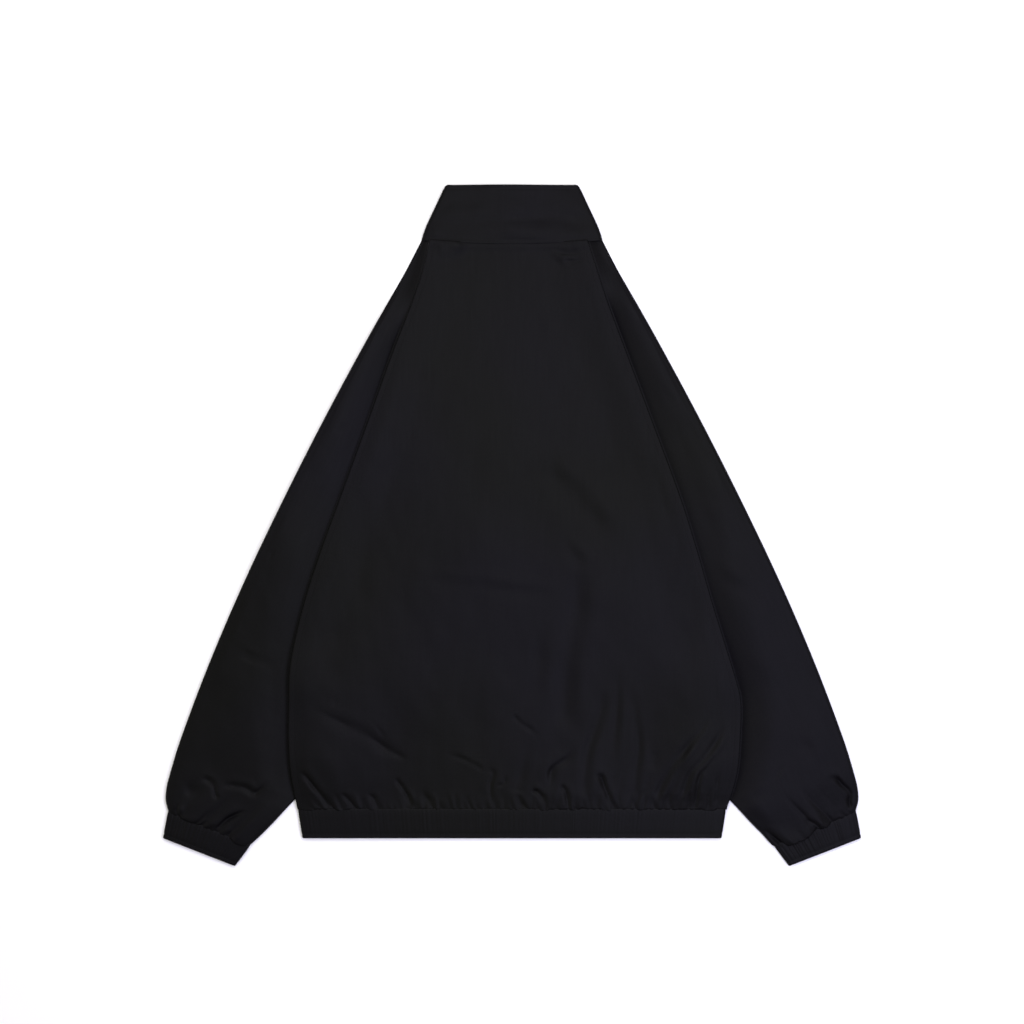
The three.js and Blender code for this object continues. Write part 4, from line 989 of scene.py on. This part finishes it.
bandShape = {
    "top": 6.2, "floor": 2.2, "half": 0.9, "foldWidth": 2.6, "slit": closedEdge, "columns": 1400, "ribs": 236,
    "seed": 5, "ribHeight": 0.22, "stitchAt": 0.12,
}
bandEnds = [(246.6, hemEdgeY + bandShape["half"]), (251.8, bandTopY)]  # right ends of its mouth and its seam
band = casingGrid(*([(-x, y), (x, y)] for x, y in bandEnds), bandShape)
clothPiece("hem_casing", band, {
    "material": casingNylon, "node": "hem_band", "slot": "casing", "held": "gathered", "restsOn": [],
})

cuffShape = {
    "top": 5.1, "floor": 2.15, "half": 0.85, "foldWidth": 2.4, "columns": 340, "ribs": 48, "seed": 11,
    "ribHeight": 0.7, "stitchAt": 0.14,
}
cuffs = {}
for side, sign in signs.items():
    mouth = (cuffCorners["mouthInner"], cuffCorners["mouthOuter"])
    mouthEnds = np.array(mouth) + upArm * cuffShape["half"]
    seamEnds = (cuffCorners["seamInner"], cuffCorners["seamOuter"])
    cuffs[side] = casingGrid(mouthEnds, seamEnds, {**cuffShape, "seed": cuffShape["seed"] + sign})
    cuffs[side] = cuffs[side] * np.array([sign, 1, 1])
    clothPiece(f"cuff_{side}_casing", cuffs[side], {
        "material": casingNylon, "node": f"cuff_{side}", "slot": "casing", "held": "gathered", "restsOn": [],
    }, closed=True, flip=side == "left")
print("casings: made")


# The stand collar, two layers folded at the top, flat on itself
collarShape = {
    "top": 6.9, "floor": 1.2, "half": 0.7, "foldWidth": 3.2, "slit": closedEdge, "columns": 230, "sideX": 106,
    "rows": [0, 0.01, 0.022, 0.04, 0.062, 0.08, 0.1, 0.16, 0.24, 0.32, 0.4, 0.47, 0.52, 0.57, 0.64, 0.72, 0.8,
             0.87, 0.915, 0.94, 0.965, 1.0],
    "stitchRows": [4, 19], "stitchThin": 0.5, "edgeReach": 18,
    "looseness": [(1.6, 60, 0.45, 7), (0.9, 24, 0.5, 9)], "uneven": [(0.7, 40, 1, 8)], "unevenMid": 0.75,
    "crease": {"depth": 0.9, "y": 358, "half": 6, "wave": 2, "waveLength": 31},
    "bulge": {"height": 1.0, "y": 346, "half": 10},
    "bead": {"height": 0.4, "in": 0.8, "half": 1.7},  # the folded edge at the top is a little thicker
    "slider": {"height": 1.3, "y": (338, 352), "half": 28},  # it lifts the back of the collar too
}


def collarGrid():
    shape = collarShape
    crease, bulge, bead, slider = (shape[key] for key in ("crease", "bulge", "bead", "slider"))
    middleZ = (shape["top"] + shape["floor"]) / 2
    edgeY = collarTopY - shape["half"]
    lines = []
    for share in shape["rows"]:
        v = 1 - share
        sideY = lerp(neckSeam(shape["sideX"]) + 0.1, edgeY, v)
        reach = float(readTable(collarOutline, "y", "x", sideY)) - 0.2
        line = tubeLine((-reach, 0), (reach, 0), shape, shape["columns"])
        x, z = line[:, 0], line[:, 2]
        onFront = ease(middleZ + 0.5, middleZ - 1.5, z) * (np.abs(x) < reach - 1)
        onBack = 1 - onFront
        y = lerp(lerp(neckSeam(x), frontNeckSeam(x), onFront), edgeY, v)
        inward = onBack * ease(reach, reach - shape["edgeReach"], np.abs(x))
        uneven = (shape["unevenMid"] + looseness(x, 0 * x, shape["uneven"])) * inward
        creaseY = crease["y"] + crease["wave"] * np.sin(x / crease["waveLength"])
        z = z + slider["height"] * ease(*slider["y"], y) * hump(x, 0, slider["half"]) * onBack
        z = z + sliderLift(x, y) * onFront
        z = z - crease["depth"] * uneven * hump(y, creaseY, crease["half"])
        z = z + bulge["height"] * uneven * hump(y, bulge["y"], bulge["half"])
        z = z + looseness(x, y, shape["looseness"]) * inward
        z = z + bead["height"] * hump(y, collarTopY - bead["in"], bead["half"]) * onBack
        lines.append(np.stack([x, y, z], -1))
    stitched = np.zeros(len(shape["rows"]))
    stitched[shape["stitchRows"]] = 1
    middle = np.array(lines)
    thick = shape["half"] * (1 - shape["stitchThin"] * stitched[:, None])
    return doubled(middle, np.broadcast_to(thick, middle.shape[:2]))


collar = collarGrid()
clothPiece("collar_shell", collar, {
    "material": bodyNylon, "node": "collar", "slot": "shell", "held": "folded", "restsOn": [],
}, flip=True)
print("collar: made")


# The zip: two woven tapes, two meshing coils, and the slider, pull, box and stops from the CAD model
def tapeGrid(sign):
    low, high = span("zip_tape_left", 1)
    marks = [low + zipTape["ends"], *zipTape["rowMarks"], high - zipTape["ends"]]
    rows = stretches(marks, zipTape["rowSteps"])[:, None]
    x = np.linspace(zipTape["inner"], zipTape["outer"], zipTape["columns"])[None, :]
    return np.stack(np.broadcast_arrays(sign * x, rows, tapeMid(x, rows)), -1)


for side, sign in signs.items():
    clothPiece(f"zip_tape_{side}_woven", tapeGrid(sign), {
        "material": zipTapeCloth, "node": f"zip_tape_{side}", "slot": "zip_tape", "held": "laid",
        "restsOn": [f"front_{side}_shell"],
    }, flip=side == "left", thick=zipTape["thick"])

coil = {"pitch": 1.5, "wire": 0.3, "reach": 2.75, "past": 0.45, "rise": 0.48, "steps": 12, "sides": 5}


# Rings of points round a path. widths is the radius at each of its points.
def tubeRings(path, widths, sides, up):
    along = unit(np.gradient(path, axis=-2))
    aside = unit(np.cross(along, up))
    over = np.cross(aside, along)
    turn = np.arange(sides) / sides * 2 * math.pi
    ring = aside[..., None, :] * np.cos(turn)[:, None] + over[..., None, :] * np.sin(turn)[:, None]
    return path[..., None, :] + ring * np.asarray(widths)[..., None, None]


# Faces of tubes made of rings, closed at both ends
def tubeFaces(tubes, rings, sides):
    ids = np.arange(tubes * rings * sides).reshape(tubes, rings, sides)
    turned = np.roll(ids, -1, 2)
    walls = np.stack([ids[:, :-1], turned[:, :-1], turned[:, 1:], ids[:, 1:]], -1).reshape(-1, 4)
    ends = np.concatenate([ids[:, 0, ::-1], ids[:, -1]])
    return walls.tolist() + ends.tolist()


def coilPath(sign):
    low, high = span("zip_chain", 1)
    turns = int((high - low - 2 * coil["pitch"]) / coil["pitch"])
    t = np.arange(turns * coil["steps"] + 1) / coil["steps"]
    y = low + coil["pitch"] * (t + (1 if sign > 0 else 0.5))  # one coil's turns lie between the other's
    middle, half = (coil["reach"] - coil["past"]) / 2, (coil["reach"] + coil["past"]) / 2
    x = sign * (middle + half * np.cos(2 * math.pi * t))
    z = tapeMid(0, y) + coil["rise"] * np.sin(2 * math.pi * t)
    return np.stack([x, y, z], 1)


def zipCoils():
    paths = np.stack([coilPath(-1), coilPath(1)])
    points = tubeRings(paths, np.full(paths.shape[:2], coil["wire"]), coil["sides"], (0, 1, 0))
    piece = meshPiece("zip_coil_teeth", points, tubeFaces(2, paths.shape[1], coil["sides"]), coilNylon)
    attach(piece, "jacket")
    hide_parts("zip_chain")


zipCoils()
for node, finish in (("zip_slider", paintedZinc), ("zip_pull", paintedZinc), ("zip_stop_left", paintedZinc),
                     ("zip_stop_right", paintedZinc), ("zip_box", coilNylon)):
    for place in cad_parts[node].material_slots:
        place.material = finish
print("zip: made")

thread = {
    "pitch": 3.2, "stitch": 2.6, "radius": 0.17, "sides": 5, "dip": 0.25, "margin": 1.0, "bedded": 0.6,
    "places": np.array([0, 0.14, 0.5, 0.86, 1]), "widths": np.array([0.4, 0.9, 1, 0.9, 0.4]),
    "dips": np.array([1, 0.25, 0, 0.25, 1]),  # both ends of a stitch go down into the cloth
}


# Stitches along lines on cloth. Each line has points and the ways that face out of the cloth there.
def stitches(name, lines):
    widths = thread["radius"] * thread["widths"]
    rise = clothThick / 2 + thread["radius"] * thread["bedded"] - thread["dip"] * thread["dips"]
    tubes = []
    for points, outward in lines:
        lengths = lengthsAlong(points)
        last = lengths[-1] - thread["stitch"] - thread["margin"]
        at = np.arange(thread["margin"], last, thread["pitch"])[:, None] + thread["places"] * thread["stitch"]
        place = np.stack([np.interp(at, lengths, points[:, k]) for k in range(3)], -1)
        out = np.stack([np.interp(at, lengths, outward[:, k]) for k in range(3)], -1)
        path = place + out * rise[:, None]
        aside = unit(np.cross(path[:, -1] - path[:, 0], out[:, 2]))
        widthsHere = np.broadcast_to(widths, path.shape[:2])
        tubes.append(tubeRings(path, widthsHere, thread["sides"], aside[:, None]))
    tubes = np.concatenate(tubes)
    faces = tubeFaces(len(tubes), tubes.shape[1], thread["sides"])
    piece = meshPiece(name, tubes, faces, sewingThread)
    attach(piece, "jacket")


# A line across or along a cloth's grid, with normals that face up or down
def gridLine(points, pick, up):
    normals = gridNormals(points)
    normals = normals * np.where(normals[..., 2:] * up < 0, -1, 1)
    return points[pick], normals[pick]


# A row of a doubled casing or collar, which faces away from its inner layer
def casingLine(points, rowCount, row):
    outer = points[rowCount - 1 - row]
    inner = points[rowCount + layerFoldSteps - 1 + row]
    return outer, unit(outer - inner)


raglanColumn = backShape["rollSteps"] + backShape["edgeInsets"][::-1].index(backShape["stitchInset"])
stitches("stitches_raglan", [
    gridLine(back, np.s_[2:-1, raglanColumn], 1),
    gridLine(back, np.s_[2:-1, -1 - raglanColumn], 1),
])
stitches("stitches_collar", [
    casingLine(collar, len(collarShape["rows"]), row) for row in collarShape["stitchRows"]
])
sewnAt = (len(casingForm["rows"]), casingForm["sewnRow"])
stitches("stitches_hem", [casingLine(band, *sewnAt)])
frontColumn = len(frontShape["facing"]) + frontShape["turnSteps"] + 2
for side in signs:
    stitches(f"stitches_cuff_{side}", [casingLine(cuffs[side], *sewnAt)])
    stitches(f"stitches_front_{side}", [gridLine(fronts[side], np.s_[1:-1, frontColumn], -1)])
print("stitches: made")


# Floor, light and camera

# A large soft panel beyond the collar and a bluish one beyond the right cuff give most of the light, so cloth
# that slopes away turns darker. Weak wide lights, lower at the sides, are blocked beside every raised edge.
softPanels = [
    {"name": "overhead", "place": (0.06, 0.44, 1.5), "aim": (0.03, 0.16, 0), "size": 1.15, "power": 15.5,
     "colour": "#f1f0fa"},
    {"name": "right", "place": (0.66, -0.4, 1.5), "aim": (0.3, -0.2, 0), "size": 0.8, "power": 13,
     "colour": "#d6d6ff"},
]
surroundings = {"floorSize": 30, "floor": "#fdfdfd", "air": "#fffcf4", "airStrength": 0.28, "sunSpread": 50}
studioLights = [
    {"name": "right", "azimuth": 6, "elevation": 34, "strength": 0.5, "colour": "#fffcf2"},
    {"name": "collar", "azimuth": 90, "elevation": 40, "strength": 0.5, "colour": "#fffcf2"},
    {"name": "left", "azimuth": 184, "elevation": 34, "strength": 0.85, "colour": "#fffcf2"},
]


def placeLamp(lamp, place, backwards):
    holder = bpy.data.objects.new(lamp.name, lamp)
    holder.rotation_mode = "QUATERNION"
    holder.rotation_quaternion = backwards.to_track_quat("Z", "Y")
    holder.location = place
    holder.visible_camera = False
    bpy.context.scene.collection.objects.link(holder)


def studio():
    size = surroundings["floorSize"]
    corners = [(-size, -size, 0), (size, -size, 0), (size, size, 0), (-size, size, 0)]
    mesh = bpy.data.meshes.new("floor")
    mesh.from_pydata(corners, [], [(0, 1, 2, 3)])
    floor = bpy.data.objects.new("floor", mesh)
    bpy.context.scene.collection.objects.link(floor)
    material, tree = newMaterial("white paper sweep")
    shader = addNode(tree, "ShaderNodeBsdfDiffuse", {"Color": linear(surroundings["floor"])})
    addNode(tree, "ShaderNodeOutputMaterial", {"Surface": shader.outputs[0]})
    mesh.materials.append(material)

    world = bpy.data.worlds.new("studio")
    world.use_nodes = True
    air = world.node_tree.nodes["Background"]
    air.inputs["Color"].default_value = linear(surroundings["air"])
    air.inputs["Strength"].default_value = surroundings["airStrength"]
    bpy.context.scene.world = world

    for light in studioLights:
        lamp = bpy.data.lights.new(f"soft light {light['name']}", "SUN")
        lamp.energy = light["strength"]
        lamp.angle = math.radians(surroundings["sunSpread"])
        lamp.color = linear(light["colour"])[:3]
        azimuth, elevation = math.radians(light["azimuth"]), math.radians(light["elevation"])
        level = math.cos(elevation)
        towards = Vector((math.cos(azimuth) * level, math.sin(azimuth) * level, math.sin(elevation)))
        placeLamp(lamp, towards * 3, towards)

    for panel in softPanels:
        lamp = bpy.data.lights.new(f"soft panel {panel['name']}", "AREA")
        lamp.shape = "DISK"
        lamp.size = panel["size"]
        lamp.energy = panel["power"]
        lamp.color = linear(panel["colour"])[:3]
        place = Vector(panel["place"])
        placeLamp(lamp, place, place - Vector(panel["aim"]))


view = {"lens": 85, "sensor": 36, "frameWidth": 1204.7, "centreY": 15.9, "aimHeight": 5}


def photoCamera():
    data = bpy.data.cameras.new("camera")
    data.lens = view["lens"]
    data.sensor_width = view["sensor"]
    data.clip_end = 100
    camera = bpy.data.objects.new("camera", data)
    distance = view["frameWidth"] * view["lens"] / view["sensor"]
    camera.location = (0, view["centreY"] * mm, (distance + view["aimHeight"]) * mm)
    bpy.context.scene.collection.objects.link(camera)
    bpy.context.scene.camera = camera


studio()
photoCamera()
bpy.context.scene.view_settings.view_transform = "Standard"
print("studio: made")
